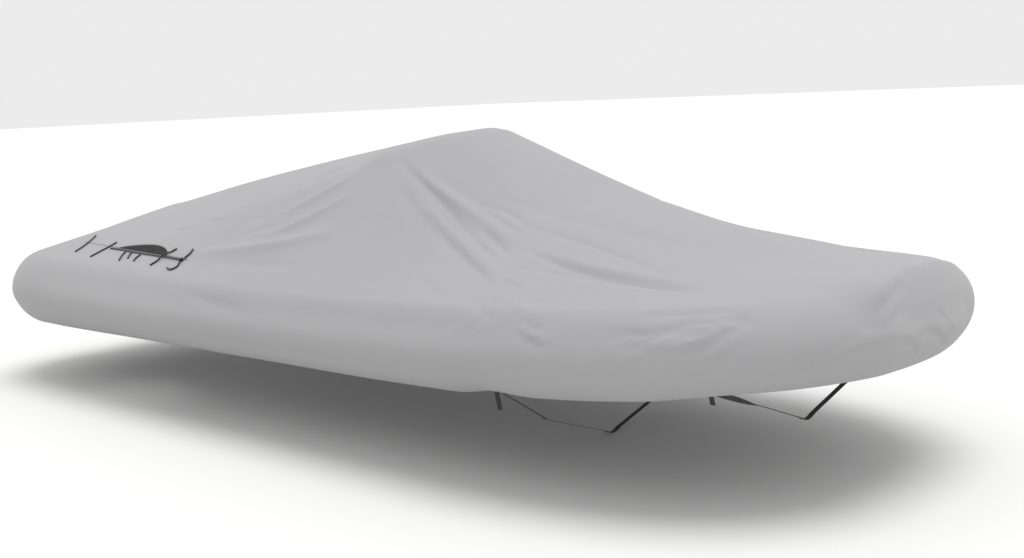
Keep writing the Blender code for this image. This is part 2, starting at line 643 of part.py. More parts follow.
def strap(name, values, surface):
    """One strap from a free tail, round a buckle, under the keel and back up the other side."""
    row = dict(zip(STRAP_COLUMNS, values))
    keel = np.array([row["keel_x"] - MIDDLE, 0.0, row["keel_z"]])
    halves, ways, chines = [], [], []
    for side_name, side in SIDES.items():
        chine = np.array([row["chine_x"] - MIDDLE, side * row["chine_y"], row["chine_z"]])
        chines.append(chine)
        turn, down, wide = buckle_end(f"{name}_{side_name}", surface, row["run"], chine, side)
        hang = np.array([0.0, 0.0, -1.0])
        tail = [turn[-1] + down * TAIL_START]
        fall = (down * TAIL_LEAN + hang) * row["tail"]
        tail += [tail[0] + fall * share for share in (0.35, 0.7, 1.0)]
        halves.append(tail[::-1] + turn[::-1])
        ways.append([wide] * len(halves[-1]))
    starboard, port = halves[0], halves[1][::-1]
    places = [starboard[-1], chines[0], keel, chines[1], port[0]]
    under = []
    for before, bend, after in zip(places, places[1:], places[2:]):
        under += rounded(before, bend, after, BEND_SOFT)
    across = [*ways[0], *[(1.0, 0.0, 0.0)] * len(under), *ways[1]]
    ribbon(name, [*starboard, *under, *port], across, WEBBING, WEBBING_THICK)


def plain_tab(name, surface, run, side):
    """A small folded tab of webbing sewn inside the hem and just past it."""
    edge, out, along, inward = hem_place(surface, run, side)
    start = edge + inward * (CLOTH + HEM_TAB_GAP + PLAIN_TAB_THICK / 2)
    route = [start - out * TAB_INSIDE / 2, start, start + out * TAB_OUTSIDE]
    ribbon(name, route, along, HEM_TAB_WIDTH, PLAIN_TAB_THICK)


def clear_scene():
    """Takes every object out of the scene."""
    for old in list(bpy.data.objects):
        bpy.data.objects.remove(old, do_unlink=True)


def main():
    clear_scene()
    surface = cover_surface(COLUMNS, (ROWS_TOP, ROWS_SLOPE, ROWS_WRAP))
    shell = cover(surface[1])
    corners = [vertex.co for vertex in shell.data.vertices]
    tree = BVHTree.FromPolygons(corners, [face.vertices for face in shell.data.polygons])
    for side_name, side in SIDES.items():
        for name, route in TIES.items():
            tie(f"{name}_{side_name}", route, side, tree)
        knot(f"knot_{side_name}", side, tree)
        for name, run in HEM_TABS.items():
            plain_tab(f"{name}_{side_name}", surface, run, side)
    for name, values in STRAPS.items():
        strap(name, values, surface)


main()
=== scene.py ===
# %% [markdown]
# # A fitted cover for an inflatable boat
# The solids of the cover are loaded as a fixed frame. They are right in size and place, but
# their cloth is coarse and plain. Each cell below dresses one piece: the cloth with its finer
# folds, the cords at the slits, the webbing under the hull and its plastic slides. Lengths are
# metres, +X runs towards the bow, +Y to port and +Z up.

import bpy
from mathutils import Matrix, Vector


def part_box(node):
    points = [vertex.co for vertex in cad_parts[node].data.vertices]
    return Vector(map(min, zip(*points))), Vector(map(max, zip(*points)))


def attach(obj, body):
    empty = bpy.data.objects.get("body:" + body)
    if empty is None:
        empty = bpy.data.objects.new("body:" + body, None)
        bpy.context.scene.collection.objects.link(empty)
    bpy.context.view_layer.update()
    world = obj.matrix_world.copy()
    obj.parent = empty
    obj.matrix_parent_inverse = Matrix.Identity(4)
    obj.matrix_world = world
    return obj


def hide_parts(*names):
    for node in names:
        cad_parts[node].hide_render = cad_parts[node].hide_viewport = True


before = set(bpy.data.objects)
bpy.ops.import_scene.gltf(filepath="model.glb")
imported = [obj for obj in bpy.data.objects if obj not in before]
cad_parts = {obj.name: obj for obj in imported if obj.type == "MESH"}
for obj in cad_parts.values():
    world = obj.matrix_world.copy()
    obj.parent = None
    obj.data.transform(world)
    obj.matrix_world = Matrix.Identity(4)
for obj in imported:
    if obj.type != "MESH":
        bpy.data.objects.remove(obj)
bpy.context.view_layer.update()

# %% Modules
import math

import bmesh
import bpy
import numpy as np
from mathutils import Matrix, Vector
from mathutils.bvhtree import BVHTree

# %% [markdown]
# ## The camera
# A camera can be aimed with a Track To constraint, which can't lean it sideways. Here three
# turns are stacked instead: the lean about the lens, the tilt, and the heading round the boat.
# The eye stands off the starboard bow, a little above the cover's peak, and looks slightly down.

# %% Camera
MIDDLE = 2.847  # station of the origin, measured from the transom
EYE = (8.363 - MIDDLE, -4.876, 1.706)
HEADING, TILT, LEAN = (math.radians(turn) for turn in (134.66, -8.086, -2.527))
LENS = 46.07  # millimetres, on Blender's own 36 mm sensor
FARTHEST = 500  # so that the floor isn't cut off


def link(name, data):
    """A new object in the scene."""
    made = bpy.data.objects.new(name, data)
    bpy.context.scene.collection.objects.link(made)
    return made


camera = link("camera", bpy.data.cameras.new("camera"))
camera.data.lens = LENS
camera.data.clip_end = FARTHEST
aim = Matrix.Rotation(HEADING - math.pi / 2, 4, "Z") @ Matrix.Rotation(math.pi / 2 + TILT, 4, "X")
camera.matrix_world = Matrix.Translation(EYE) @ aim @ Matrix.Rotation(LEAN, 4, "Z")
bpy.context.scene.camera = camera
print("eye:", [round(part, 3) for part in camera.location])

# %% [markdown]
# ## The shape under the cloth
# The side tubes of the boat give the cover most of its shape. Their centre line in plan is a
# straight stern, two round corners, two straight sides and a bow that is a superellipse, which
# is fuller than an ellipse. A place along it is named by its run: the distance from the middle
# of the stern. Past the shoulder the tubes get thinner, and all the way forward they climb.

# %% Tube line
HALF_BEAM = 0.990
STERN, STERN_CORNER = -0.020, 0.43
SHOULDER, BOW, BOW_FULLNESS = 4.206, 5.760, 2.735
TUBE_RADIUS, BOW_RADIUS = 0.225, 0.178
TUBE_HEIGHT = 0.596
SHEER_START, SHEER_RISE, SHEER_POWER = -1.13, 0.113, 3.75
STERN_CROWN, STERN_CROWN_HALF = 0.145, 0.72
STRAIGHT_PLACES, CORNER_PLACES, BOW_PLACES = 200, 120, 1600


def gone_along(line):
    """Distance gone along a line of points, at each of them."""
    return np.concatenate([[0], np.cumsum(np.linalg.norm(np.diff(line, axis=0), axis=1))])


def tube_line():
    """Half of the tube's centre line in plan, as run, x, y and heading."""
    straight = np.linspace(0, 1, STRAIGHT_PLACES)[:-1]
    arc = np.linspace(0, math.pi / 2, CORNER_PLACES)[:-1]
    bow = np.linspace(0, math.pi / 2, BOW_PLACES)
    inner = HALF_BEAM - STERN_CORNER
    centre = STERN + STERN_CORNER
    x = [STERN + 0 * straight, centre - STERN_CORNER * np.cos(arc)]
    y = [inner * straight, inner + STERN_CORNER * np.sin(arc)]
    x.append(centre + (SHOULDER - centre) * straight)
    y.append(HALF_BEAM + 0 * straight)
    x.append(SHOULDER + (BOW - SHOULDER) * np.sin(bow) ** (2 / BOW_FULLNESS))
    y.append(HALF_BEAM * np.abs(np.cos(bow)) ** (2 / BOW_FULLNESS))
    y[-1][-1] = 0.0
    x, y = np.concatenate(x), np.concatenate(y)
    run = gone_along(np.stack([x, y], axis=1))
    heading = np.unwrap(np.arctan2(np.gradient(y, run), np.gradient(x, run)))
    return run, x, y, heading


LINE = tube_line()
print("half the tube's line:", round(float(LINE[0][-1]), 2), "m")


def tube_at(run):
    """Centre, outward direction and radius of the tube at a run."""
    line_run, line_x, line_y, heading = LINE
    x, y = np.interp(run, line_run, line_x), np.interp(run, line_run, line_y)
    turned = np.interp(run, line_run, heading)
    turned = np.where(run <= 0, math.pi / 2, np.where(run >= line_run[-1], -math.pi / 2, turned))
    out = np.stack([-np.sin(turned), np.cos(turned)], axis=-1)
    forward = np.clip((x - SHEER_START) / (BOW - SHEER_START), 0, 1)
    z = TUBE_HEIGHT + SHEER_RISE * forward**SHEER_POWER
    at_stern = np.clip(1 - (x - STERN) / STERN_CORNER, 0, 1)
    z = z + at_stern * STERN_CROWN * np.clip(1 - y / STERN_CROWN_HALF, 0, 1)
    to_bow = np.clip((x - SHOULDER) / (BOW - SHOULDER), 0, 1)
    return np.stack([x, y, z], axis=-1), out, TUBE_RADIUS + (BOW_RADIUS - TUBE_RADIUS) * to_bow


# %% [markdown]
# ## Sections of the cloth
# From any run the cloth goes up from the hem, round the tube, inboard to a knee over the
# windscreen or the seats, and to the spine on the centre line. The tables hold those places at a
# few runs, and a curve that never overshoots its knots fills in between, so no bump appears
# that the tables don't have. Above the tube the cloth is taut, but it sags a little.

# %% Tables of the sections and of the hem
SECTION_COLUMNS = ("run", "spine_x", "spine_z", "knee_x", "knee_y", "knee_z", "soft", "sag")
SECTIONS = (
    (0.00, 0.30, 1.045, 0.18, 0.000, 1.025, 0.05, 0.000),
    (0.45, 0.33, 1.049, 0.22, 0.240, 0.983, 0.05, 0.000),
    (0.90, 0.38, 1.056, 0.30, 0.480, 0.942, 0.08, 0.000),
    (1.24, 0.48, 1.073, 0.44, 0.560, 0.930, 0.12, 0.003),
    (2.02, 1.20, 1.207, 1.20, 0.610, 0.978, 0.14, 0.008),
    (2.82, 2.00, 1.338, 2.02, 0.500, 1.180, 0.14, 0.012),
    (3.62, 2.80, 1.457, 2.83, 0.400, 1.385, 0.12, 0.016),
    (3.87, 3.00, 1.487, 3.00, 0.380, 1.440, 0.09, 0.020),
    (4.50, 3.12, 1.502, 3.11, 0.330, 1.462, 0.06, 0.040),
    (5.20, 3.24, 1.513, 3.30, 0.225, 1.499, 0.05, 0.080),
    (6.00, 3.34, 1.522, 3.41, 0.125, 1.521, 0.05, 0.120),
    (6.60, 3.39, 1.526, 3.45, 0.055, 1.529, 0.05, 0.140),
    (7.30, 3.41, 1.528, 3.461, 0.000, 1.531, 0.05, 0.150),
)
SAG_SKEW = 1.1  # past 1, the sag is deepest nearer to the tube
HEM_COLUMNS = ("run", "angle", "depth")
HEM = (
    (0.00, 165.0, 1.70),
    (0.60, 163.0, 1.25),
    (0.93, 155.0, 1.05),
    (1.25, 153.0, 1.05),
    (1.60, 163.0, 1.04),
    (2.60, 172.0, 1.00),
    (3.60, 178.0, 1.00),
    (4.60, 184.0, 1.03),
    (5.05, 186.0, 1.03),
    (5.24, 186.0, 0.95),
    (5.50, 190.0, 1.04),
    (5.95, 193.0, 1.05),
    (6.30, 191.0, 0.98),
    (6.70, 190.0, 1.02),
    (7.00, 188.0, 1.10),
    (7.30, 186.0, 1.12),
)


def smooth(at, knots, values):
    """Value at each place of a smooth curve through the knots that doesn't overshoot them."""
    at, knots, values = (np.asarray(item, float) for item in (at, knots, values))
    step = np.diff(knots)
    slope = np.diff(values) / step
    product, total = slope[:-1] * slope[1:], slope[:-1] + slope[1:]
    inner = np.where(product > 0, 2 * product / np.where(product > 0, total, 1.0), 0.0)
    tangent = np.concatenate([slope[:1], inner, slope[-1:]])
    i = np.clip(np.searchsorted(knots, at, side="right") - 1, 0, len(step) - 1)
    t = np.clip((at - knots[i]) / step[i], 0.0, 1.0)
    start = (1 + 2 * t) * (1 - t) ** 2 * values[i] + t * (1 - t) ** 2 * step[i] * tangent[i]
    end = t**2 * (3 - 2 * t) * values[i + 1] + t**2 * (t - 1) * step[i] * tangent[i + 1]
    return start + end


def row_at(run, columns, rows):
    """A table's values at a run, by the names of its columns."""
    runs, *others = np.array(rows, float).T
    return {name: float(smooth(run, runs, values)) for name, values in zip(columns[1:], others)}


# %% [markdown]
# ## One section, row by row
# The rows are shared out over three stretches: spine to knee, knee to tube, and round the tube.
# The last rows stand close together, because the hem there is turned in and sewn, which makes
# it twice as thick and a little proud of the cloth above it.

# %% Section above the tube
ROWS = (6, 76, 33)  # spine to knee, knee to tube, round the tube
SECTION_SAMPLES = 240


def spread(places, along, values):
    """Rows of values, known at distances along a line, at other places along it."""
    return np.stack([np.interp(places, along, column) for column in values.T], axis=1)


def above_tube(value, spine, knee, tube_top):
    """Points of a section from the spine over the knee to where the cloth meets the tube."""
    share = np.linspace(0, 1, SECTION_SAMPLES)[:, None]
    to_knee = spine + (knee - spine) * share
    to_tube = knee + (tube_top - knee) * share
    to_tube[:, 2] -= value["sag"] * np.sin(math.pi * share[:, 0] ** SAG_SKEW)
    near = np.concatenate([to_knee, to_tube[1:]])
    along, bend = gone_along(near), value["soft"]
    knee_at, length = float(np.linalg.norm(knee - spine)), along[-1]
    first = np.linspace(0, knee_at, ROWS[0] + 1)[:-1]
    places = np.concatenate([first, np.linspace(knee_at, length, ROWS[1] + 1)[:-1]])
    upper = spread(places, along, near)
    ahead = spread(np.clip(places + bend, 0, length), along, near)
    behind = spread(np.clip(places - bend, 0, length), along, near)
    blend = np.clip(1 - np.abs(places - knee_at) / bend, 0, 1)
    upper[:, 2] = (1 - blend) * upper[:, 2] + blend * (ahead[:, 2] + behind[:, 2]) / 2
    return upper


# %% Section round the tube
HEM_ROWS = (0.036, 0.030, 0.012, 0.0)  # distances from the hem's edge of the last rows
HEM_PROUD, PROUD_ROWS = 0.0012, 3
STRAKE_ANGLE, STRAKE_RISE = math.radians(99.0), 0.020  # rubbing strake of the tube
STRAKE_SPREAD = (24.0, 11.0)  # degrees that it takes to fade, above and below
STRAKE_END, STRAKE_FADE = 5.4, 1.0  # station where it is gone, and how long it fades before
STRAKE_START, STRAKE_LEAST = 0.8, 0.3  # it is lower round the stern
SHOULDER_SINK = 0.012  # the cloth is taut from where it meets the tube down to the strake


def round_tube(hem, touch, centre, out, radius):
    """Points of a section from where the cloth meets the tube round it to the hem."""
    angle = np.linspace(touch, math.radians(hem["angle"]), SECTION_SAMPLES)
    lower = np.where(angle > math.pi / 2, hem["depth"], 1.0)
    wrap = np.empty((SECTION_SAMPLES, 3))
    wrap[:, :2] = centre[:2] + radius * np.sin(angle)[:, None] * out
    wrap[:, 2] = centre[2] + radius * lower * np.cos(angle)
    off = angle - STRAKE_ANGLE
    wide = np.radians(np.where(off > 0, STRAKE_SPREAD[1], STRAKE_SPREAD[0]))
    fade = np.clip((STRAKE_END - centre[0]) / STRAKE_FADE, 0, 1)
    fade = fade * np.clip(centre[0] / STRAKE_START, STRAKE_LEAST, 1)
    down = np.clip((angle - touch) / (STRAKE_ANGLE - touch), 0, 1)
    bump = STRAKE_RISE * np.exp(-((off / wide) ** 2))
    bump -= SHOULDER_SINK * np.sin(math.pi * down) ** 2
    bump = fade * bump[:, None]
    wrap[:, :2] += bump * np.sin(angle)[:, None] * out
    wrap[:, 2] += bump[:, 0] * np.cos(angle)
    along = gone_along(wrap)
    steps = np.linspace(0, along[-1] - HEM_ROWS[0], ROWS[2] + 1)[:-1]
    return spread(np.concatenate([steps, along[-1] - np.array(HEM_ROWS)]), along, wrap)


# %% Whole section
def section(run, side):
    """Points of one section of the cloth's outer face, from the spine over the tube to the hem."""
    value = row_at(run, SECTION_COLUMNS, SECTIONS)
    centre, out, radius = tube_at(run)
    spine = np.array([value["spine_x"], 0.0, value["spine_z"]])
    knee = np.array([value["knee_x"], value["knee_y"], value["knee_z"]])
    inboard = float((centre[:2] - knee[:2]) @ out)
    reach = math.hypot(inboard, knee[2] - centre[2])
    touch = math.acos(radius / reach) - math.atan2(inboard, knee[2] - centre[2])
    tube_top = centre + radius * np.array([*(out * math.sin(touch)), math.cos(touch)])
    around = round_tube(row_at(run, HEM_COLUMNS, HEM), touch, centre, out, radius)
    points = np.concatenate([above_tube(value, spine, knee, tube_top), around])
    points[:, 1] *= side
    points[:, 0] -= MIDDLE
    return points


# %% [markdown]
# ## Columns where the cloth needs them
# Evenly spaced columns would waste most of the mesh on the smooth stern and leave the folds
# coarse. Each stretch of the tube's line gets a weight instead, for how much it turns and
# whether folds cross it, and the columns are set an equal weight apart.

# %% Columns
COLUMNS = 700
TURN_WEIGHT = 0.3
FOLD_ZONE, FOLD_WEIGHT = (2.5, 7.5), 2.2  # runs that folds cross, and what they weigh more


def column_runs(count):
    """Signed runs of the columns of the whole cover, starboard ones below zero."""
    line_run, _, _, heading = LINE
    weight = np.abs(np.gradient(heading, line_run)) * TURN_WEIGHT + 1.0
    weight = weight + FOLD_WEIGHT * ((line_run > FOLD_ZONE[0]) & (line_run < FOLD_ZONE[1]))
    total = np.concatenate([[0], np.cumsum((weight[1:] + weight[:-1]) / 2 * np.diff(line_run))])
    half = np.interp(np.linspace(0, total[-1], count // 2 + 1), total, line_run)
    return np.concatenate([-half[:-1], half[::-1]])


RUNS = column_runs(COLUMNS)
FROM_BOW = np.where(RUNS > 0, 1, -1) * (LINE[0][-1] - np.abs(RUNS))
smooth_cloth = np.stack([section(abs(run), -1.0 if run <= 0 else 1.0) for run in RUNS])
print("grid of the cloth:", smooth_cloth.shape[:2], "columns and rows")

# %% [markdown]
# ## Folds
# Cloth that hangs from a point, here the corner of the windscreen, gathers in folds that fan
# out from it. Each row below is one fold, in millimetres: the two places that its line runs
# between, how wide its upper and lower flanks are, how far it rises or sinks, and how far its
# line bows sideways. The upper flank of a fold that runs forward is the one further from the
# hem. A narrow flank under a wide one is what makes a fold look like cloth and not like a wave.
# A row names a distance from the centre line, so it stands for a fold on each side. Those of
# the bow cross the centre line, and port and starboard differ there. Folds push the cloth along
# its normal.

# %% Folds of the cloth
# x, y and z of both ends, upper and lower width, rise, bow
FOLDS = (
    # the crest under the windscreen's corner, and the deep fold beside it
    (3050, 400, 1420, 4600, 980, 870, 90, 90, 16, 0),
    (3200, 420, 1370, 3960, 690, 1060, 36, 45, -26, 12),
    (3970, 690, 1060, 4240, 790, 970, 22, 20, -14, -6),
    (4010, 650, 1070, 4280, 750, 980, 20, 18, -14, 9),
    (3280, 430, 1350, 4200, 650, 1040, 45, 28, 21, -8),
    (3390, 420, 1340, 3900, 510, 1170, 45, 25, -11, -16),
    (3620, 620, 1150, 4400, 950, 890, 40, 26, 18, 8),
    (3770, 710, 1060, 4390, 950, 890, 26, 35, -14, -3),
    (3250, 500, 1300, 3780, 710, 1060, 35, 35, -10, -24),
    # fan that runs forward from it
    (3860, 510, 1180, 4190, 540, 1090, 20, 18, -11, 34),
    (3930, 540, 1150, 4140, 580, 1080, 18, 18, -9, 2),
    (4030, 540, 1120, 4260, 580, 1060, 18, 18, 9, -2),
    (4240, 540, 1080, 4990, 580, 940, 28, 22, -16, 43),
    (4330, 670, 1010, 5190, 640, 910, 50, 28, 19, -31),
    (4340, 680, 1000, 5280, 700, 890, 55, 22, -30, -46),
    (4340, 820, 950, 4930, 790, 900, 22, 20, -10, 20),
    (4390, 870, 920, 4540, 880, 910, 18, 18, -6, -1),
    (3940, 440, 1200, 5030, 100, 970, 55, 45, -11, -70),
    # crumpled cloth where the deep fold meets the tube
    (4400, 930, 900, 4540, 970, 880, 20, 18, -10, 11),
    (4500, 1040, 850, 4720, 1100, 820, 24, 22, 9, 2),
    (4700, 1140, 770, 4860, 1150, 730, 18, 16, 12, -11),
    (4720, 1160, 740, 4840, 1160, 700, 16, 22, -10, 4),
    (4690, 1130, 790, 4820, 1140, 760, 22, 16, -8, -9),
    (3910, 980, 900, 4170, 1080, 840, 25, 25, -8, 0),
    (4360, 1090, 840, 4560, 1150, 790, 28, 25, -8, 0),
    # fan from the windscreen's corner aft to the tube
    (2020, 930, 900, 3040, 820, 1040, 45, 48, 28, -33),
    (2540, 810, 1010, 3000, 620, 1210, 30, 34, 20, -27),
    (2510, 670, 1120, 2920, 490, 1320, 35, 35, 18, -13),
    (2300, 480, 1220, 2850, 330, 1400, 60, 30, -26, 60),
    (2260, 820, 980, 2480, 760, 1050, 22, 20, -8, 16),
    (2200, 720, 1050, 2350, 700, 1080, 20, 18, -6, 18),
    (1220, 200, 1130, 1830, 350, 1190, 22, 20, -7, 58),
    (1380, 300, 1120, 1850, 440, 1160, 22, 20, -7, -18),
    (1900, 570, 1110, 2080, 590, 1130, 20, 18, -6, 5),
    (1540, 620, 1020, 1900, 670, 1050, 20, 18, -7, 1),
    (2300, 1010, 860, 3020, 1000, 890, 50, 30, -8, 5),
    (2260, 1180, 720, 2830, 1210, 670, 35, 30, -8, 0),
    (1220, 650, 960, 1600, 700, 990, 20, 18, -8, 3),
    (1330, 300, 1110, 1900, 430, 1180, 18, 18, -9, -80),
    (1010, 100, 1140, 1430, 200, 1170, 18, 18, -8, -47),
    (2130, 400, 1230, 2500, 470, 1260, 22, 20, -10, 42),
    (1120, 510, 1010, 1540, 600, 1030, 18, 18, -6, 42),
    # slack along the side, where the tube starts to turn in
    (5220, 1000, 830, 5550, 800, 850, 20, 18, -12, 3),
    (5140, 1080, 750, 5300, 1020, 770, 20, 18, -13, 15),
    (5140, 1090, 740, 5270, 1040, 730, 16, 16, -7, -9),
    (5310, 1030, 720, 5500, 910, 770, 30, 18, 15, -5),
    (5420, 980, 720, 5520, 910, 740, 18, 35, -9, -9),
    (5480, 950, 690, 5580, 840, 790, 18, 22, 14, -1),
    (5510, 920, 740, 5590, 800, 830, 22, 18, -14, -2),
    (5390, 950, 800, 5490, 890, 810, 16, 16, -10, 15),
    (5510, 860, 820, 5580, 810, 830, 16, 16, -11, -1),
    (5440, 940, 780, 5490, 900, 800, 16, 16, 8, 7),
    (5510, 890, 800, 5560, 840, 820, 16, 16, 8, -8),
    (5280, 1020, 780, 5420, 950, 790, 26, 20, -8, 0),
    (5410, 970, 760, 5480, 920, 780, 16, 16, -8, 6),
)

# %% Folds of the bow
BOW_FOLDS = (
    # creases below the edge of the bow
    (5870, -400, 800, 5830, -140, 870, 18, 16, -10, 0),
    (5890, -370, 780, 5860, -150, 840, 16, 16, 8, 0),
    (5900, -330, 760, 5890, -170, 810, 16, 16, -9, 0),
    (5860, -480, 770, 5900, -360, 750, 18, 16, -7, 0),
    # short folds round the end of the tube
    (5800, -630, 685, 5930, -170, 690, 24, 50, 16, -33),
    (5720, -720, 645, 5860, -510, 730, 22, 20, -16, 0),
    (5720, -720, 620, 5860, -510, 705, 16, 16, 12, 0),
    (5920, -240, 675, 5910, -100, 600, 18, 14, -9, -20),
    (5920, -200, 650, 5900, -130, 590, 13, 13, 5, -15),
    (5940, -30, 680, 5900, 150, 590, 18, 14, -9, -15),
    (5930, 80, 770, 5935, 150, 710, 14, 13, -7, 0),
    (5930, 190, 710, 5915, 270, 645, 14, 13, 6, 10),
)

# %% Push the folds out
FOLD_FADE = 0.12  # share of a half wave that is cut off at each end of a fold
FOLD_CREST = 1.5  # 2 would make every fold a round wave, 1 would crease it sharply
TINY = 1e-9


def outward(points):
    """Unit normals of the grid of points, pointing out of the cover."""
    normal = np.cross(np.gradient(points, axis=1), np.gradient(points, axis=0))
    normal /= np.maximum(np.linalg.norm(normal, axis=2, keepdims=True), TINY)
    away = points - np.array([0.0, 0.0, TUBE_HEIGHT])
    away[..., 0] = 0.0
    facing = np.sign((normal * away).sum(axis=2).sum(axis=0))
    return normal * facing[None, :, None]


def folded(points, rows, both_sides):
    """The grid of points with every fold pushed out or in along the cloth's normal."""
    push = np.zeros(points.shape[:2])
    normal = outward(points)
    flip = np.where((points[..., 1] < 0) & both_sides, -1.0, 1.0)
    mirror = np.stack([np.ones_like(flip), flip, np.ones_like(flip)], axis=-1)
    here = points * mirror + np.array([MIDDLE, 0.0, 0.0])
    normal_here = normal * mirror
    for row in rows:
        metres = np.array(row) / 1000
        start, reach = metres[:3], metres[3:6] - metres[:3]
        upper, lower, rise, bow = metres[6:]
        along = np.clip((here - start) @ reach / (reach @ reach), 0, 1)
        gap = here - start - along[..., None] * reach
        across = (np.cross(reach / np.linalg.norm(reach), normal_here) * gap).sum(axis=2)
        past = np.maximum((gap**2).sum(axis=2) - across**2, 0)
        across = across - bow * 4 * along * (1 - along)
        width = np.where(across > 0, upper, lower)
        swell = np.sin(math.pi * (FOLD_FADE + (1 - 2 * FOLD_FADE) * along))
        fall = np.abs(across / width) ** FOLD_CREST + past / lower**2
        push += rise * swell * np.exp(-fall)
    return points + normal * push[..., None]


# %% [markdown]
# ## The edge over the bow
# Across the bow the cloth breaks over a crisp edge: flat behind it, and a steep plain face in
# front of it that is stretched down to the hem. It could be one more fold, but a fold's line is
# straight. So this one runs along a curve through a few places, rises there, and sinks the
# face a little in front, which takes the tube's roundness out of it. The edge and the face fade
# apart from each other towards the curve's ends. How far along the curve a place of the cloth
# lies is a mean over the near parts of the curve, because the single nearest part jumps from
# one place to the next and would draw a line in the cloth.

# %% Edge of the bow
# x from the transom, y and z of places along it, from starboard to port
BOW_EDGE = (
    (5.850, -0.470, 0.795),
    (5.832, -0.293, 0.862),
    (5.812, -0.100, 0.879),
    (5.806, 0.050, 0.881),
    (5.798, 0.200, 0.881),
    (5.779, 0.396, 0.874),
    (5.735, 0.560, 0.855),
    (5.680, 0.690, 0.830),
)
EDGE_RISE, EDGE_CREST = 0.056, 1.1  # the crest is nearly a crease, see FOLD_CREST
EDGE_FACE, EDGE_TOP = 0.045, 0.150  # how wide it is in front and behind
FACE_SINK, FACE_MIDDLE, FACE_SPREAD = 0.042, 0.180, 0.115  # how far, where in front, how wide
EDGE_STEP, EDGE_SOFT = 0.01, 0.015  # between the curve's places, and the reach of the mean over them
EDGE_FADES = (0.15, 0.42)  # shares of its length over which the edge comes and goes
FACE_FADES = (0.34, 0.28)
FAR = 9.0  # further than any two places of the cover are apart


def unit(ways):
    """Directions, made one long."""
    return ways / np.linalg.norm(ways, axis=-1, keepdims=True)


def through(route, step):
    """Points of a smooth curve through the rows of a route, about a step apart."""
    route = np.array(route, float)
    gone = gone_along(route)
    places = np.linspace(0, gone[-1], max(3, round(gone[-1] / step) + 1))
    return np.stack([smooth(places, gone, column) for column in route.T], axis=1)


def faded(share, ends):
    """How much of a push is left at a share of a line's length, with its two ends faded out."""
    grown = np.minimum(share / ends[0], (1 - share) / ends[1])
    return np.sin(math.pi / 2 * np.clip(grown, 0, 1)) ** 2


def edged(points, route):
    """The grid of points, raised to an edge along a curve and sunk in front of it."""
    curve = through(route, EDGE_STEP)
    normal = outward(points)
    here = points + np.array([MIDDLE, 0.0, 0.0])
    nearest_one, across = np.full(points.shape[:2], FAR), np.full(points.shape[:2], FAR)
    for place, way in zip(curve, unit(np.gradient(curve, axis=0))):
        gap = np.linalg.norm(here - place, axis=2)
        side = (np.cross(way, normal) * (here - place)).sum(axis=2)
        across = np.where(gap < nearest_one, np.sign(side) * gap, across)
        nearest_one = np.minimum(nearest_one, gap)
    share, total = np.zeros(points.shape[:2]), np.zeros(points.shape[:2])
    for place, at in zip(curve, np.linspace(0, 1, len(curve))):
        weight = np.exp((nearest_one - np.linalg.norm(here - place, axis=2)) / EDGE_SOFT)
        share, total = share + weight * at, total + weight
    share = share / total
    width = np.where(across > 0, EDGE_FACE, EDGE_TOP)
    rise = EDGE_RISE * np.exp(-(np.abs(across / width) ** EDGE_CREST))
    sink = FACE_SINK * np.exp(-(((across - FACE_MIDDLE) / FACE_SPREAD) ** 2))
    push = rise * faded(share, EDGE_FADES) - sink * faded(share, FACE_FADES)
    return points + normal * push[..., None]


cloth_points = folded(smooth_cloth, FOLDS, both_sides=True)
cloth_points = edged(folded(cloth_points, BOW_FOLDS, both_sides=False), BOW_EDGE)
cloth_points[:, -PROUD_ROWS:] += outward(cloth_points)[:, -PROUD_ROWS:] * HEM_PROUD
moved = np.linalg.norm(cloth_points - smooth_cloth, axis=2)
print("folds move the cloth by up to", round(1000 * float(moved.max()), 1), "mm")

# %% [markdown]
# ## The sheet
# A grid from bmesh has its corners already numbered by row and column, so each one is only
# moved to its place. The two ends of the grid meet at the middle of the stern, and port and
# starboard meet along the spine, where doubles are merged. The sheet also carries a UV map in
# metres, along the boat and down the cloth, the distance from its nearest sewn edge, and how
# slack it is: where folds run out on the tube it crumples into wrinkles too fine for this mesh.

# %% Slits
SLIT_AFT, SLIT_FORWARD = (0.46, 0.800), (1.99, 0.990)
SLIT_GAP = 0.006
SLIT_OPEN, SLIT_OPEN_WIDTH = (0.36, 0.82), 0.08  # shares of its length that bulge, and how far
SLIT_ROUND = 0.7  # below 1, the bulge is blunter than a sine
SLIT_CUT = (0.78, 1.00)  # heights that the cutter reaches between
SIDES = {"starboard": -1.0, "port": 1.0}


def meshed(name, shape):
    """A mesh made from a bmesh, which is freed."""
    mesh = bpy.data.meshes.new(name)
    shape.to_mesh(mesh)
    shape.free()
    return mesh


def slit_outline(side, steps=25):
    """Outline of one slit in plan: a straight outboard edge, and an inboard one that bulges."""
    start = np.array(SLIT_AFT)
    reach = np.array(SLIT_FORWARD) - start
    outboard = np.array([-reach[1], reach[0]]) / np.linalg.norm(reach)
    share = np.concatenate([[0], np.linspace(*SLIT_OPEN, steps), [1]])
    opened = np.clip((share - SLIT_OPEN[0]) / (SLIT_OPEN[1] - SLIT_OPEN[0]), 0, 1)
    bulge = SLIT_GAP + SLIT_OPEN_WIDTH * np.sin(math.pi * opened) ** SLIT_ROUND
    inner = start + share[:, None] * reach - bulge[:, None] * outboard
    outline = np.concatenate([inner, np.array([start + reach, start])])
    outline[:, 0] -= MIDDLE
    outline[:, 1] *= side
    return outline


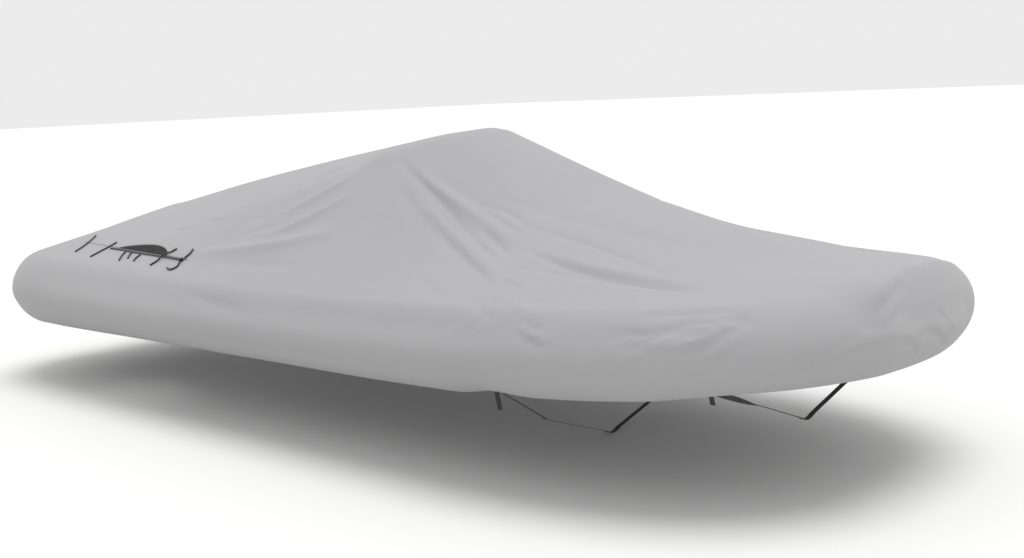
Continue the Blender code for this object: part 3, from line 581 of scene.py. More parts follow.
def slit_cutter(name, side):
    """Upright prism over a slit's outline."""
    shape = bmesh.new()
    face = shape.faces.new([shape.verts.new((x, y, SLIT_CUT[0])) for x, y in slit_outline(side)])
    lifted = bmesh.ops.extrude_face_region(shape, geom=[face])["geom"]
    raised = [item for item in lifted if isinstance(item, bmesh.types.BMVert)]
    bmesh.ops.translate(shape, verts=raised, vec=(0, 0, SLIT_CUT[1] - SLIT_CUT[0]))
    bmesh.ops.recalc_face_normals(shape, faces=shape.faces)
    return link(name, meshed(name, shape))


def from_slits(places):
    """Distance in plan from each place to the nearer slit's outline."""
    best = np.full(len(places), FAR)
    for side in SIDES.values():
        outline = slit_outline(side)
        for start, end in zip(outline, np.roll(outline, -1, axis=0)):
            reach = end - start
            along = np.clip((places[:, :2] - start) @ reach / (reach @ reach), 0, 1)
            gap = places[:, :2] - start - along[:, None] * reach
            best = np.minimum(best, np.linalg.norm(gap, axis=1))
    return np.where(places[:, 2] > SLIT_CUT[0], best, FAR)


# %% Slack places
SLACK_COLUMNS = ("x", "y", "z", "radius", "amount")
SLACK = (
    (4.30, 0.66, 1.02, 0.20, 0.6),
    (4.50, 1.05, 0.85, 0.22, 1.0),
    (4.72, 1.14, 0.76, 0.14, 1.0),
    (5.35, 1.00, 0.79, 0.24, 1.0),
    (5.92, 0.10, 0.66, 0.22, 0.8),
    (1.65, 0.50, 1.10, 0.40, 1.0),
    (2.15, 0.45, 1.22, 0.30, 0.7),
    (2.75, 0.72, 1.12, 0.22, 0.5),
)


def slackness(place):
    """How slack the cloth is at a place, from 0 to 1."""
    x, y, z = place
    most = 0.0
    for row in SLACK:
        spot = dict(zip(SLACK_COLUMNS, row))
        off = math.dist((x + MIDDLE, abs(y), z), (spot["x"], spot["y"], spot["z"]))
        most = max(most, spot["amount"] * math.exp(-((off / spot["radius"]) ** 2)))
    return most


# %% Sheet of cloth
CLOTH = 0.003  # thickness
MERGE = 0.0001


def cloth_sheet(points):
    """The cloth's outer face as one mesh, with its UV map and its distance from sewn edges."""
    columns, rows = points.shape[0] - 1, points.shape[1] - 1
    gaps = np.linalg.norm(np.diff(points, axis=1), axis=2)
    down = np.pad(np.cumsum(gaps, axis=1), ((0, 0), (1, 0)))
    from_hem = down[:, -1:] - down
    sheet = bmesh.new()
    uv = sheet.loops.layers.uv.new("cloth")
    edge = sheet.verts.layers.float.new("from_edge")
    loose = sheet.verts.layers.float.new("slack")
    bmesh.ops.create_grid(sheet, x_segments=columns, y_segments=rows, size=1.0)
    place = {}
    for vertex in sheet.verts:
        column = round((vertex.co.x + 1) / 2 * columns)
        row = round((vertex.co.y + 1) / 2 * rows)
        place[vertex] = (column, row)
        vertex[edge] = from_hem[column, row]
        vertex[loose] = slackness(points[column, row])
        vertex.co = points[column, row]
    for face in sheet.faces:
        for loop in face.loops:
            column, row = place[loop.vert]
            loop[uv].uv = (FROM_BOW[column], down[column, row])
    near = from_slits(np.array([vertex.co for vertex in sheet.verts]))
    for vertex, gap in zip(sheet.verts, near):
        vertex[edge] = min(vertex[edge], gap)
    bmesh.ops.remove_doubles(sheet, verts=sheet.verts, dist=MERGE)
    bmesh.ops.recalc_face_normals(sheet, faces=sheet.faces)
    highest = max(sheet.faces, key=lambda face: face.calc_center_median().z)
    if highest.normal.z < 0:
        bmesh.ops.reverse_faces(sheet, faces=sheet.faces)
    area = sum(face.calc_area() for face in sheet.faces)
    return meshed("cloth_cover", sheet), area


cloth_mesh, cloth_area = cloth_sheet(cloth_points)
print("cloth:", round(cloth_area, 2), "square metres")

# %% [markdown]
# ## The flat size of the cloth
# A cover is cut from flat cloth, so its flat size is measured along the sheet, not across it.
# A plane cuts the sheet, and the cut's length is the cloth's own width or length there. The
# hems are let out again at both ends. The cut is widest amidships and narrows to both ends.

# %% Flat size of the cloth
GIRTH_STATIONS = (-2.0, -1.5, -1.0, -0.5, 0.0, 0.5, 1.0, 1.5)
BESIDE_SPINE = 0.002  # a plane on the spine itself would run along the seam


def cut_length(mesh, place, way):
    """Length of the line in which a plane cuts the sheet."""
    sheet = bmesh.new()
    sheet.from_mesh(mesh)
    whole = [*sheet.verts, *sheet.edges, *sheet.faces]
    cut = bmesh.ops.bisect_plane(sheet, geom=whole, plane_co=place, plane_no=way)["geom_cut"]
    length = sum(item.calc_length() for item in cut if isinstance(item, bmesh.types.BMEdge))
    sheet.free()
    return length


girths = [cut_length(cloth_mesh, (x, 0, 0), (1, 0, 0)) for x in GIRTH_STATIONS]
cloth_length = cut_length(cloth_mesh, (0, BESIDE_SPINE, 0), (0, 1, 0)) + 2 * HEM_ROWS[0]

# %% [markdown]
# ## Thickness and slits
# Solidify grows the wall inwards and puts the inner wall in a vertex group. Nobody sees the
# inside closely, so Decimate makes that group plainer, and the fine folds of the outer wall
# stay. Two Booleans cut the slits through both. The modifiers are applied, so that sharp edges
# can be marked on the finished mesh by their angle: the cut edges and the hem's edge stay crisp
# and the folds stay soft.

# %% Finish the cloth
SHARP = math.radians(48)
OUTSIDE_SHARE = 0.58  # of the faces, kept: all of the outer wall and few of the inner


def cut_out(obj, cutters):
    """Takes the shapes of other objects out of a piece."""
    for cutter in cutters:
        cut = obj.modifiers.new("cut", "BOOLEAN")
        cut.operation = "DIFFERENCE"
        cut.object = cutter


def finished(obj, cutters=()):
    """Applies a piece's modifiers, drops its cutters and marks the edges that stay crisp."""
    graph = bpy.context.evaluated_depsgraph_get()
    done = bpy.data.meshes.new_from_object(obj.evaluated_get(graph), depsgraph=graph)
    done.name = obj.name
    obj.modifiers.clear()
    obj.data = done
    for cutter in cutters:
        bpy.data.objects.remove(cutter, do_unlink=True)
    done.shade_smooth()
    done.set_sharp_from_angle(angle=SHARP)
    return obj


corners = [vertex.co.copy() for vertex in cloth_mesh.vertices]
cloth_tree = BVHTree.FromPolygons(corners, [tuple(face.vertices) for face in cloth_mesh.polygons])
cover = link("cloth_cover", cloth_mesh)
thick = cover.modifiers.new("thickness", "SOLIDIFY")
thick.thickness = CLOTH
thick.offset = -1.0
thick.shell_vertex_group = cover.vertex_groups.new(name="inner").name
plainer = cover.modifiers.new("plainer inside", "DECIMATE")
plainer.ratio = OUTSIDE_SHARE
plainer.vertex_group = thick.shell_vertex_group
cutters = [slit_cutter("slit_cutter_" + name, side) for name, side in SIDES.items()]
cut_out(cover, cutters)
finished(cover, cutters)
cover.data.calc_loop_triangles()
print("finished cloth:", len(cover.data.loop_triangles), "triangles")

# %% [markdown]
# ## Cords on the cloth
# Each slit is drawn shut by cord: one length lies along it, others cross it as ties, and their
# free ends lie on the cloth. A cord is a fixed length of something limp, so it follows the cloth
# closely. Its route is given in plan, with how far it lifts where it passes over another cord.
# Each point is laid over the cloth, square to it, and then the whole cord is lowered until its
# nearest point all but touches.

# %% Cord routes
CORD, CORD_STEP, CORD_CLEAR = 0.010, 0.0125, 0.0004  # thickness, step along it, gap to the cloth
# x from the transom, y outboard and lift of places along each
TIES = {
    "tie_aft": ((0.655, 0.965, 0), (0.60, 0.885, 0), (0.53, 0.80, 0), (0.43, 0.70, 0)),
    "tie_middle": ((0.94, 1.015, 0), (0.915, 0.93, 0), (0.90, 0.86, 0), (0.88, 0.80, 0)),
    "tie_forward": (
        (1.695, 1.050, 0), (1.710, 1.010, 0.002), (1.722, 0.966, 0.0135), (1.732, 0.925, 0.002),
        (1.740, 0.895, 0),
    ),
    "slit_cord": (
        (0.955, 0.885, 0), (1.10, 0.897, 0), (1.30, 0.922, 0), (1.50, 0.945, 0), (1.72, 0.969, 0),
        (1.925, 0.990, 0),
    ),
    "short_tie_1": ((1.305, 1.025, 0), (1.235, 0.965, 0), (1.205, 0.925, 0)),
    "short_tie_2": ((1.355, 0.995, 0), (1.315, 0.962, 0), (1.290, 0.934, 0)),
    "short_tie_3": ((1.465, 1.020, 0), (1.440, 0.995, 0), (1.425, 0.953, 0)),
    "knot_tail_out": ((1.949, 1.0105, 0), (1.975, 1.045, 0), (1.945, 1.070, 0), (1.895, 1.060, 0)),
    "knot_tail_in": ((1.949, 0.9795, 0.001), (1.955, 0.945, 0.002), (1.925, 0.905, 0.001)),
}


# %% Cords
ABOVE = 3.0  # height from which a ray falls on the cloth
CORD_ROUND = 4  # steps in a quarter of a cord's own circle


def cloth_height(x, y):
    """Height of the cloth's outer face at a place in plan."""
    return cloth_tree.ray_cast(Vector((x, y, ABOVE)), Vector((0, 0, -1)))[0].z


def on_cloth(x, y):
    """The point of the cloth at a place in plan, and its normal there."""
    slope_x = cloth_height(x + CORD, y) - cloth_height(x - CORD, y)
    slope_y = cloth_height(x, y + CORD) - cloth_height(x, y - CORD)
    return Vector((x, y, cloth_height(x, y))), Vector((-slope_x, -slope_y, 2 * CORD)).normalized()


def nearest(points, parts=6):
    """Least distance between the cloth and a line through the points."""
    pairs = list(zip(points, points[1:]))
    places = [start.lerp(end, k / parts) for start, end in pairs for k in range(parts + 1)]
    return min(cloth_tree.find_nearest(place)[3] for place in places)


def cord_line(name, points, cyclic=False, thickness=CORD):
    """A round cord through the points, as a curve."""
    line = bpy.data.curves.new(name, "CURVE")
    line.dimensions = "3D"
    line.bevel_depth = thickness / 2
    line.bevel_resolution = CORD_ROUND
    line.use_fill_caps = not cyclic
    spline = line.splines.new("POLY")
    spline.use_cyclic_u = cyclic
    spline.points.add(len(points) - 1)
    for point, place in zip(spline.points, points):
        point.co = (*place, 1.0)
    return link(name, line)


def length_of(points):
    """Length of a line through the points."""
    return sum((end - start).length for start, end in zip(points, points[1:]))


def tie(name, route, side):
    """A cord along a route given in plan, lowered until it all but touches the cloth."""
    points, normals = [], []
    for x, y, lift in through(route, CORD_STEP):
        place, normal = on_cloth(x - MIDDLE, side * y)
        points.append(place + normal * (CORD + float(lift)))
        normals.append(normal)
    spare = nearest(points) - CORD / 2 - CORD_CLEAR
    points = [point - normal * spare for point, normal in zip(points, normals)]
    return cord_line(name, points), points


cords = {}
for side_name, side in SIDES.items():
    for tie_name, route in TIES.items():
        cords[f"{tie_name}_{side_name}"] = tie(f"cord_{tie_name}_{side_name}", route, side)
for name, (_, points) in cords.items():
    print(name, round(length_of(points), 3), "m long")

# %% [markdown]
# ## The knots
# A knot could be a lumpy ball, but even a small one reads better as a cord wound through
# itself. A trefoil is the plain overhand knot with its ends joined: a closed curve that turns
# three times round a ring while it swings up and down. It is pulled tight by making its ring
# only a little wider than the cord.

# %% Knots
KNOT = (1.947, 0.995)  # its place in plan
KNOT_SIZE = (0.034, 0.030, 0.020)
KNOT_CORD = 0.0085


def knot(name, side, steps=72):
    """A trefoil of cord, as wide and as high as the knot's box."""
    turns = np.linspace(0, 2 * math.pi, steps, endpoint=False)
    ring = (np.sin(turns) + 2 * np.sin(2 * turns), np.cos(turns) - 2 * np.cos(2 * turns))
    loop = np.stack([*ring, -np.sin(3 * turns)], axis=1)
    loop = loop / np.abs(loop).max(axis=0) * ((np.array(KNOT_SIZE) - KNOT_CORD) / 2)
    place, normal = on_cloth(KNOT[0] - MIDDLE, side * KNOT[1])
    turn = normal.to_track_quat("Z", "Y")
    points = [place + normal * (KNOT_SIZE[2] / 2) + turn @ Vector(point) for point in loop]
    return cord_line(name, points, cyclic=True, thickness=KNOT_CORD)


knots = {f"knot_{name}": knot(f"cord_knot_{name}", side) for name, side in SIDES.items()}
print("knots:", list(knots))

# %% [markdown]
# ## Webbing
# Two flat straps pass under the hull, and a slide at each end holds them to a tab sewn inside
# the hem. A strip of webbing is a narrow grid laid along a line of points, with its width
# turned a given way at each point. Solidify then gives it its two faces. The UV map runs along
# and across the strip in metres, so that the ribs of the weave follow every bend.

# %% Webbing
WEBBING, WEBBING_THICK = 0.025, 0.002
STRAP_STEP, TAB_STEP = 0.012, 0.006
ACROSS = 6  # faces across a strip


def square_to(tangent, across):
    """The directions across, made square to the tangents and one long."""
    return unit(across - (across * tangent).sum(axis=-1, keepdims=True) * tangent)


def strip(name, centre, across, width=WEBBING, thickness=WEBBING_THICK, step=TAB_STEP):
    """A strip of webbing along a line of points, its width along across at each of them."""
    centre = np.array(centre, float)
    across = np.broadcast_to(np.array(across, float), centre.shape)
    bends = gone_along(centre)
    places = np.unique(np.concatenate([np.arange(0, bends[-1], step), bends]).round(5))  # to 0.01 mm
    line = spread(places, bends, centre)
    wide = square_to(unit(np.gradient(line, axis=0)), spread(places, bends, across))
    shape = bmesh.new()
    uv = shape.loops.layers.uv.new("webbing")
    bmesh.ops.create_grid(shape, x_segments=len(line) - 1, y_segments=ACROSS, size=1.0)
    place = {}
    for vertex in shape.verts:
        step_at = round((vertex.co.x + 1) / 2 * (len(line) - 1))
        place[vertex] = (places[step_at], vertex.co.y * width / 2)
        vertex.co = line[step_at] + wide[step_at] * vertex.co.y * width / 2
    for face in shape.faces:
        for loop in face.loops:
            loop[uv].uv = place[loop.vert]
    made = link(name, meshed(name, shape))
    solid = made.modifiers.new("thickness", "SOLIDIFY")
    solid.thickness = thickness
    solid.offset = 0.0
    return finished(made)


# %% [markdown]
# ## Tabs and slides
# Each tab's place is read from the frame: the column of the cloth whose hem lies nearest the
# middle of the tab's box. From there the tab comes out past the hem and turns round the slide's
# upper bar. The slide is a plate with rounded corners, two slots cut through it and a small
# bevel on every edge.

# %% Places and turns
def hem_place(node, side):
    """Middle of the hem's edge by a node, with the ways out, along and inward there."""
    low, high = (np.array(corner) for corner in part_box(node))
    middle = (low + high) / 2
    gap = np.linalg.norm(cloth_points[:, -1] - middle, axis=1)
    column = int(np.argmin(np.where(np.sign(RUNS) == side, gap, FAR)))
    edge, above = cloth_points[column, -1], cloth_points[column, -len(HEM_ROWS) - 1]
    out = unit(edge - above)
    along = unit(cloth_points[column + 1, -1] - cloth_points[column - 1, -1])
    along = along * np.sign(along[0])
    inward = unit(np.cross(out, along))
    return edge, out, along, inward * np.sign(inward[2])


def half_turn(bar, start, toward, radius, steps=10):
    """Points of a half circle round a bar's middle, from the direction start by way of toward."""
    angles = np.linspace(0, math.pi, steps + 1)
    return [bar + radius * (math.cos(a) * start + math.sin(a) * toward) for a in angles]


def rounded(before, bend, after, soft, steps=8):
    """Points of a curve through a line's bend, that starts and ends a soft distance from it."""
    first, last = bend + unit(before - bend) * soft, bend + unit(after - bend) * soft
    pull = 2 * bend - (first + last) / 2
    shares = np.linspace(0, 1, steps + 1)
    return [(1 - s) ** 2 * first + 2 * s * (1 - s) * pull + s**2 * last for s in shares]


# %% Slides
BUCKLE = (0.034, 0.030, 0.005)  # across the webbing, along it, and through
BUCKLE_SLOT = (0.027, 0.0075)  # across the webbing and along it
BUCKLE_PITCH, BUCKLE_BAR = 0.0125, 0.005  # between the slots' middles, and a bar's width
BUCKLE_CORNER, CORNER_PARTS = 0.004, 4
BUCKLE_EDGE, EDGE_PARTS = 0.0008, 3


def box_shape(size, middle):
    """A box in a new bmesh."""
    shape = bmesh.new()
    bmesh.ops.create_cube(shape, size=1.0)
    bmesh.ops.scale(shape, verts=shape.verts, vec=size)
    bmesh.ops.translate(shape, verts=shape.verts, vec=middle)
    return shape


def slide(name, middle, across, down, up):
    """A plastic slide: a plate with rounded edges and two slots that leave three bars."""
    turn = Matrix.Translation(middle) @ Matrix((across, down, up)).transposed().to_4x4()
    plate = box_shape(BUCKLE, (0, 0, 0))
    upright = [e for e in plate.edges if abs(e.verts[0].co.z - e.verts[1].co.z) > BUCKLE[2] / 2]
    corner = {"offset": BUCKLE_CORNER, "segments": CORNER_PARTS, "profile": 0.5, "material": -1}
    bmesh.ops.bevel(plate, geom=upright, affect="EDGES", **corner)
    plate.transform(turn)
    made = link(name, meshed(name, plate))
    slots = []
    for share in (-0.5, 0.5):
        slot = box_shape((*BUCKLE_SLOT, 2 * BUCKLE[2]), (0, share * BUCKLE_PITCH, 0))
        slot.transform(turn)
        slots.append(link("slot", meshed("slot", slot)))
    cut_out(made, slots)
    soft = made.modifiers.new("edges", "BEVEL")
    soft.width = BUCKLE_EDGE
    soft.segments = EDGE_PARTS
    soft.limit_method = "ANGLE"
    return finished(made, slots)


# %% Tab and slide at one end of a strap
TAB_INSIDE, TAB_OUTSIDE, TAB_RETURN = 0.035, 0.018, 0.012  # inside the hem, past it, and back
FIT_GAP, HEM_TAB_GAP = 0.0004, 0.0008  # webbing to bar, and tab to cloth
LEVEL, DOWN = np.array([1.0, 0.0, 0.0]), np.array([0.0, 0.0, -1.0])

webbing, slides = {}, {}


def slide_end(name, chine, side):
    """Hem tab and slide of one strap end. Gives the strap's own turn round the lowest bar."""
    edge, out, along, inward = hem_place(f"{name}_hem_tab", side)
    turn = BUCKLE[2] * math.sqrt(0.5) + FIT_GAP + WEBBING_THICK / 2  # clears the bar's corners
    outer_bar = BUCKLE_PITCH / 2 + BUCKLE_SLOT[1] / 2 + BUCKLE_BAR / 2
    start = edge + inward * (CLOTH + HEM_TAB_GAP + WEBBING_THICK / 2)
    knuckle = start + out * TAB_OUTSIDE
    down = unit(chine - knuckle)
    across = square_to(down, LEVEL)
    up = np.cross(across, down)
    up *= np.sign(up[2])
    across = np.cross(down, up)
    top_bar = knuckle + down * turn - up * turn
    middle = top_bar + down * outer_bar
    loop = half_turn(top_bar, up, down, turn)
    route = [start - out * TAB_INSIDE, start, knuckle - out * TAB_OUTSIDE / 3, *loop]
    route.append(loop[-1] - down * TAB_RETURN)
    wide = across * np.sign(across[0])
    ways = [along, along, along + wide, *[wide] * (len(loop) + 1)]
    webbing[f"{name}_hem_tab"] = strip(f"webbing_{name}_hem_tab", route, ways)
    slides[f"{name}_buckle"] = slide(f"slide_{name}", middle, across, down, up)
    return half_turn(middle + down * outer_bar, up, -down, turn), down, wide


# %% [markdown]
# ## Straps
# Each strap turns round the slide's lower bar and leaves a free tail. Under the cover it runs
# from slide to chine, keel and chine, and a short curve softens each bend, because a strip that
# is folded at a point would pinch. Webbing hangs level only when it is pulled hard: the free
# length of the forward strap is slack enough to turn up on its edge, so its width is turned
# there step by step and comes back level at the slide and at the chine.

# %% Straps
STRAP_COLUMNS = ("chine_x", "chine_y", "chine_z", "keel_x", "keel_z", "tail")
STRAPS = {
    "strap_aft": (4.22, 0.486, 0.170, 4.20, 0.001, 0.075),
    "strap_forward": (5.34, 0.330, 0.352, 5.32, 0.230, 0.040),
}
BEND_SOFT = 0.05
TAIL_START, TAIL_SHARES = 0.010, (0.35, 0.7, 1.0)
TAIL_LEAN = 0.35  # how much of the strap's own way is in the tail's fall
TWISTS = {"strap_aft": 0.0, "strap_forward": 75.0}  # most turn of the free length
TWIST_PLACES = np.linspace(0.08, 0.80, 16)  # shares of the free length
TWIST_SKEW = 0.6  # below 1, the most turn is nearer to the slide


def twisted(start, end, degrees):
    """Places along a strap's free length, and its width there: level, turned up, level again."""
    way = unit(end - start)
    level = square_to(way, LEVEL)
    angles = [math.radians(degrees) * math.sin(math.pi * share**TWIST_SKEW) for share in TWIST_PLACES]
    wide = [math.cos(angle) * level + math.sin(angle) * np.cross(way, level) for angle in angles]
    return [start + (end - start) * share for share in TWIST_PLACES], wide


def strap(name, values):
    """One strap from a free tail, round a slide, under the keel and back up the other side."""
    row = dict(zip(STRAP_COLUMNS, values))
    halves, ways, chines = [], [], []
    for side_name, side in SIDES.items():
        chine = np.array([row["chine_x"] - MIDDLE, side * row["chine_y"], row["chine_z"]])
        chines.append(chine)
        turn, down, wide = slide_end(f"{name}_{side_name}", chine, side)
        tail = [turn[-1] + down * TAIL_START]
        fall = (down * TAIL_LEAN + DOWN) * row["tail"]
        tail += [tail[0] + fall * share for share in TAIL_SHARES]
        halves.append(tail[::-1] + turn[::-1])
        ways.append([wide] * len(halves[-1]))
    starboard, port = halves[0], halves[1][::-1]
    keel = np.array([row["keel_x"] - MIDDLE, 0.0, row["keel_z"]])
    places = [starboard[-1], chines[0], keel, chines[1], port[0]]
    under = []
    for before, bend, after in zip(places, places[1:], places[2:]):
        under += rounded(before, bend, after, BEND_SOFT)
    first, first_ways = twisted(starboard[-1], under[0], TWISTS[name])
    last, last_ways = twisted(port[0], under[-1], -TWISTS[name])
    route = [*starboard, *first, *under, *last[::-1], *port]
    across = [*ways[0], *first_ways, *[LEVEL] * len(under), *last_ways[::-1], *ways[1]]
    webbing[name] = strip(f"webbing_{name}", route, across, step=STRAP_STEP)


for strap_name, values in STRAPS.items():
    strap(strap_name, values)

# %% Plain tabs of the hem
HEM_TABS = ("hem_tab_aft", "hem_tab_bow")
HEM_TAB_WIDTH, HEM_TAB_THICK = 0.045, 0.003


def plain_tab(node, side):
    """A small folded tab of webbing sewn inside the hem and just past it."""
    edge, out, along, inward = hem_place(node, side)
    start = edge + inward * (CLOTH + HEM_TAB_GAP + HEM_TAB_THICK / 2)
    route = [start - out * TAB_INSIDE / 2, start, start + out * TAB_OUTSIDE]
    webbing[node] = strip(f"webbing_{node}", route, along, HEM_TAB_WIDTH, HEM_TAB_THICK)


for side_name, side in SIDES.items():
    for tab_name in HEM_TABS:
        plain_tab(f"{tab_name}_{side_name}", side)
print("strips of webbing:", len(webbing), "slides:", len(slides))

# %% [markdown]
# ## Finishes
# Every material below is made of shader nodes. Two small helpers keep them short: one turns an
# sRGB hex colour into the linear numbers that a shader wants, and one adds a node with its
# settings and its links.

# %% Helpers for materials
def linear(colour):
    """Linear red, green, blue and alpha of an sRGB hex colour."""
    parts = [int(colour[k : k + 2], 16) / 255 for k in (1, 3, 5)]
    parts = [part / 12.92 if part <= 0.04045 else ((part + 0.055) / 1.055) ** 2.4 for part in parts]
    return (*parts, 1.0)


def feed(tree, node, sockets):
    """Gives a node's sockets a value, or a link from an output or from a node's first output."""
    for socket, value in sockets.items():
        if isinstance(value, bpy.types.Node):
            value = value.outputs[0]
        if isinstance(value, bpy.types.NodeSocket):
            tree.links.new(value, node.inputs[socket])
        else:
            node.inputs[socket].default_value = value


def add(tree, kind, sockets=(), **settings):
    """A node with its settings, values and links."""
    made = tree.nodes.new("ShaderNode" + kind)
    for name, value in settings.items():
        setattr(made, name, value)
    feed(tree, made, dict(sockets))
    return made


def new_material(name, sockets):
    """A material with its tree and its shader, and plain numbers for the shader's own sockets."""
    made = bpy.data.materials.new(name)
    made.use_nodes = True
    shader = made.node_tree.nodes["Principled BSDF"]
    feed(made.node_tree, shader, sockets)
    return made, made.node_tree, shader


# %% [markdown]
# ## Woven coated polyester
# The cloth is a plain weave of polyester yarn with a thin coating on its back. The coating
# stiffens it, so it creases rather than ripples, and the weave leaves its face matt with a
# faint sheen at low angles. The threads are about 0.6 mm apart, too fine to show at this
# distance, so the weave is drawn at four times that. Large soft patches, a little lighter and
# darker, are what rain, sun and handling leave. Two rows of stitches follow every sewn edge.

# %% Stitches
STITCH = 0.008  # length of a stitch and its gap
STITCH_SHARE = 0.68  # of that, the stitch
STITCH_ROWS = (0.006, 0.027)  # distance of each row from the edge
STITCH_HALF = 0.0016  # half the width of a row


def stitches(tree, run, from_edge):
    """Height of the stitches: dashes in rows along a sewn edge."""
    dash = add(tree, "Math", {0: run, 1: 1 / STITCH}, operation="MULTIPLY")
    dash = add(tree, "Math", {0: dash}, operation="FRACT")
    dash = add(tree, "Math", {0: dash, 1: STITCH_SHARE}, operation="LESS_THAN")
    rows = [
        add(tree, "Math", {0: from_edge, 1: distance, 2: STITCH_HALF}, operation="COMPARE")
        for distance in STITCH_ROWS
    ]
    both = add(tree, "Math", {0: rows[0], 1: rows[1]}, operation="ADD")
    return add(tree, "Math", {0: both, 1: dash}, operation="MULTIPLY")


# %% Weave and wrinkles
THREAD = 0.0024  # drawn spacing of the threads
CRINKLES = 9.0  # in a metre, so that one is about 11 cm
WRINKLES = (5.0, 18.0, 1.0)  # wrinkles in a metre along the boat and down the cloth


def waves(tree, run, spacing):
    """A sine wave along one way of a surface."""
    turned = add(tree, "Math", {0: run, 1: 2 * math.pi / spacing}, operation="MULTIPLY")
    return add(tree, "Math", {0: turned}, operation="SINE")


def relief(tree, where, uv, sewn):
    """The cloth's bumps, from the finest up: weave, crinkles, wrinkles where slack, stitches."""
    apart = add(tree, "SeparateXYZ", {0: uv})
    warp, weft = (waves(tree, run, THREAD) for run in apart.outputs[:2])
    weave = add(tree, "Math", {0: warp, 1: weft}, operation="MULTIPLY")
    crinkle = add(tree, "TexNoise", {"Vector": where, "Scale": CRINKLES, "Detail": 4.0, "Roughness": 0.55})
    drawn = add(tree, "Mapping", {"Vector": uv, "Scale": WRINKLES})
    wrinkle = add(tree, "TexNoise", {"Vector": drawn, "Scale": 1.0, "Detail": 1.0, "Distortion": 0.4})
    slack = add(tree, "Attribute", attribute_name="slack").outputs["Fac"]
    wrinkle = add(tree, "Math", {0: wrinkle, 1: slack}, operation="MULTIPLY")
    layers = ((weave, 0.25, 0.0004), (crinkle, 0.5, 0.006), (wrinkle, 0.8, 0.011), (sewn, 0.6, 0.0008))
    bump = None
    for height, strength, distance in layers:  # each distance is how high it would be, in metres
        below = {"Normal": bump} if bump else {}
        bump = add(tree, "Bump", {"Height": height, "Strength": strength, "Distance": distance, **below})
    return bump


# %% Woven coated polyester
PATCHES = 1.3  # in a metre, so that one is about 0.8 m


def cloth_finish():
    """Grey woven coated polyester."""
    gloss = {"Roughness": 0.78, "Specular IOR Level": 0.30, "Sheen Weight": 0.12, "Sheen Roughness": 0.5}
    made, tree, shader = new_material("woven coated polyester", gloss)
    where = add(tree, "TexCoord").outputs["Object"]
    uv = add(tree, "UVMap", uv_map="cloth")
    run = add(tree, "SeparateXYZ", {0: uv})
    sewn = stitches(tree, run, add(tree, "Attribute", attribute_name="from_edge").outputs["Fac"])
    patches = add(tree, "TexNoise", {"Vector": where, "Scale": PATCHES, "Detail": 3.0, "Roughness": 0.5})
    greys = {0: patches, 6: linear("#a09fa1"), 7: linear("#a7a6a8")}
    colour = add(tree, "Mix", greys, data_type="RGBA").outputs[2]
    thread = add(tree, "Mix", {0: sewn, 6: colour, 7: linear("#949393")}, data_type="RGBA")
    feed(tree, shader, {"Base Color": thread.outputs[2], "Normal": relief(tree, where, uv, sewn)})
    return made


# %% [markdown]
# ## Polyester webbing, braided cord and moulded acetal
# Webbing is woven with thick ribs across it, so its face has fine bars and its edges catch
# the light. The cord is a round braid: strands cross it slantwise and stand up as small pads.
# A checker on a UV map could draw them, but a curve gets its mesh late, so Voronoi cells as
# wide as a pad, on Object coordinates, stand for them. Each cell's colour darkens towards its
# edge: painted shade in the grooves between the strands. The slides are moulded in black acetal,
# smooth and slightly glossy, with the soft unevenness of a cooled surface.

# %% Webbing
RIB = 0.0016
BLOTCHES = 90.0  # in a metre, so that one is about 11 mm


def webbing_finish():
    """Black polyester webbing."""
    made, tree, shader = new_material("black polyester webbing", {"Roughness": 0.62, "Sheen Weight": 0.25})
    uv = add(tree, "UVMap", uv_map="webbing")
    ribs = waves(tree, add(tree, "SeparateXYZ", {0: uv}), RIB)
    worn = add(tree, "TexNoise", {"Vector": uv, "Scale": BLOTCHES, "Detail": 3.0})
    blacks = {0: worn, 6: linear("#17171a"), 7: linear("#26262a")}
    colour = add(tree, "Mix", blacks, data_type="RGBA").outputs[2]
    bump = add(tree, "Bump", {"Height": ribs, "Strength": 0.5, "Distance": 0.0004})
    feed(tree, shader, {"Base Color": colour, "Normal": bump})
    return made


# %% Cord
BRAID = 0.004  # width of a pad of the braid


def cord_finish():
    """Black braided cord."""
    made, tree, shader = new_material("black braided polyester cord", {"Roughness": 0.6, "Sheen Weight": 0.2})
    where = add(tree, "TexCoord").outputs["Object"]
    pads = add(tree, "TexVoronoi", {"Vector": where, "Scale": 1 / BRAID})
    # darker towards each pad's edge: painted shade in the grooves between the strands
    blacks = {0: pads, 6: linear("#1c1c1f"), 7: linear("#101012")}
    colour = add(tree, "Mix", blacks, data_type="RGBA").outputs[2]
    bump = add(tree, "Bump", {"Height": pads, "Strength": 0.5, "Distance": 0.001}, invert=True)
    feed(tree, shader, {"Base Color": colour, "Normal": bump})
    return made


# %% Slides of acetal
GRAINS = 700.0  # in a metre, so that one is about 1.4 mm


def slide_finish():
    """Black moulded acetal."""
    made, tree, shader = new_material("black moulded acetal", {"IOR": 1.48})
    where = add(tree, "TexCoord").outputs["Object"]
    grain = add(tree, "TexNoise", {"Vector": where, "Scale": GRAINS, "Detail": 2.0})
    rough = add(tree, "MapRange", {"Value": grain, "To Min": 0.32, "To Max": 0.48})
    blacks = {0: grain, 6: linear("#141416"), 7: linear("#1c1c1e")}
    colour = add(tree, "Mix", blacks, data_type="RGBA").outputs[2]
    bump = add(tree, "Bump", {"Height": grain, "Strength": 0.2, "Distance": 0.0002})
    feed(tree, shader, {"Base Color": colour, "Roughness": rough, "Normal": bump})
    return made


CLOTH_FINISH, WEBBING_FINISH = cloth_finish(), webbing_finish()
CORD_FINISH, SLIDE_FINISH = cord_finish(), slide_finish()
print("finishes:", [item.name for item in (CLOTH_FINISH, WEBBING_FINISH, CORD_FINISH, SLIDE_FINISH)])
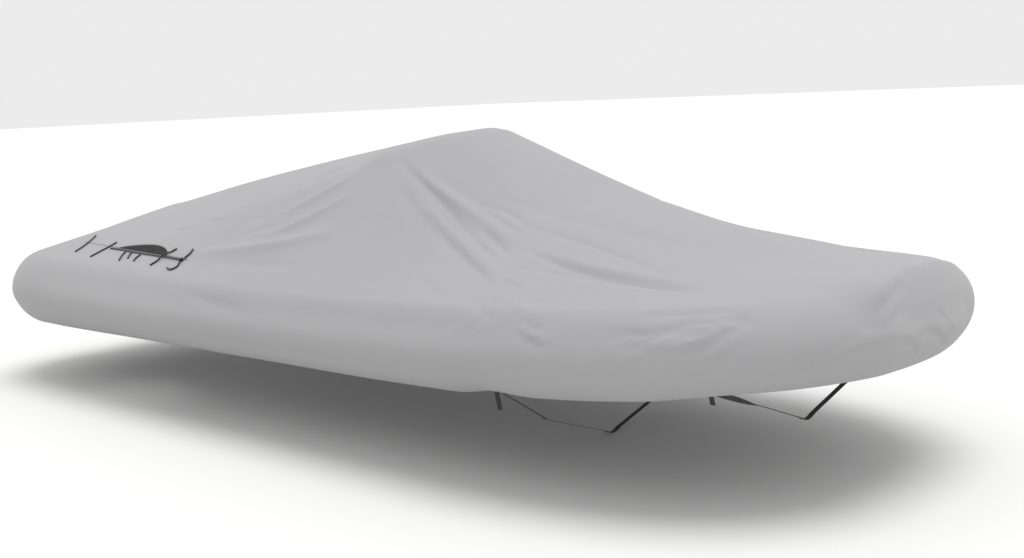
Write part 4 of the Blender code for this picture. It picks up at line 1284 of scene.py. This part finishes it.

# %% [markdown]
# ## Each piece in its place
# Each piece gets its finish, rides on the one body and takes the place of its solid, which is
# hidden.

# %% Finishes and bodies
def wear(obj, finish, slot, *nodes):
    """Gives a piece its finish and body, and hides the solids of the nodes that it stands for. The slot is
    not used.
    """
    obj.data.materials.clear()
    obj.data.materials.append(finish)
    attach(obj, "root")
    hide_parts(*nodes)


wear(cover, CLOTH_FINISH, "cloth", "cover_shell")
for node, obj in webbing.items():
    wear(obj, WEBBING_FINISH, "webbing", node)
for node, obj in slides.items():
    wear(obj, SLIDE_FINISH, "plastic", node)
for node, obj in knots.items():
    wear(obj, CORD_FINISH, "cord", node)
for node, (obj, points) in cords.items():
    wear(obj, CORD_FINISH, "cord", node)
    side_name = node.rsplit("_", 1)[1]
print("declared:", 1 + len(cords), "soft pieces")

# %% [markdown]
# ## Floor and light
# An overcast sky is the light for cloth: it comes from everywhere, so folds show as soft
# changes of grey and nothing is lost in shadow. A pale world does most of it. The rest is a sun
# almost overhead, made so wide that it is the bright part of a cloudy sky: it tells the top of
# the cover from its sides, and its shadow on the floor is soft.

# %% Floor and light
FLOOR, FLOOR_HALF = -0.001, 150  # just under the lowest strap, and half its width
SKY = 0.84
SUN, SUN_WIDE, SUN_WAY = 1.5, math.radians(40), (-0.13, -0.06, -1.0)

pale, _, _ = new_material("pale matt floor", {"Base Color": linear("#e9e9e8"), "Roughness": 0.9})
ground = bmesh.new()
bmesh.ops.create_grid(ground, x_segments=1, y_segments=1, size=FLOOR_HALF)
bmesh.ops.translate(ground, verts=ground.verts, vec=(0, 0, FLOOR))
floor = link("floor", meshed("floor", ground))
floor.data.materials.append(pale)

world = bpy.data.worlds.new("overcast")
world.use_nodes = True
whole_sky = {"Color": (1.0, 1.0, 1.0, 1.0), "Strength": SKY}
feed(world.node_tree, world.node_tree.nodes["Background"], whole_sky)
bpy.context.scene.world = world
bpy.context.scene.view_settings.view_transform = "Standard"

lamp = bpy.data.lights.new("bright part of the sky", "SUN")
lamp.angle = SUN_WIDE
lamp.energy = SUN
high = link("bright part of the sky", lamp)
high.rotation_euler = Vector(SUN_WAY).to_track_quat("-Z", "Y").to_euler()
print("lit")
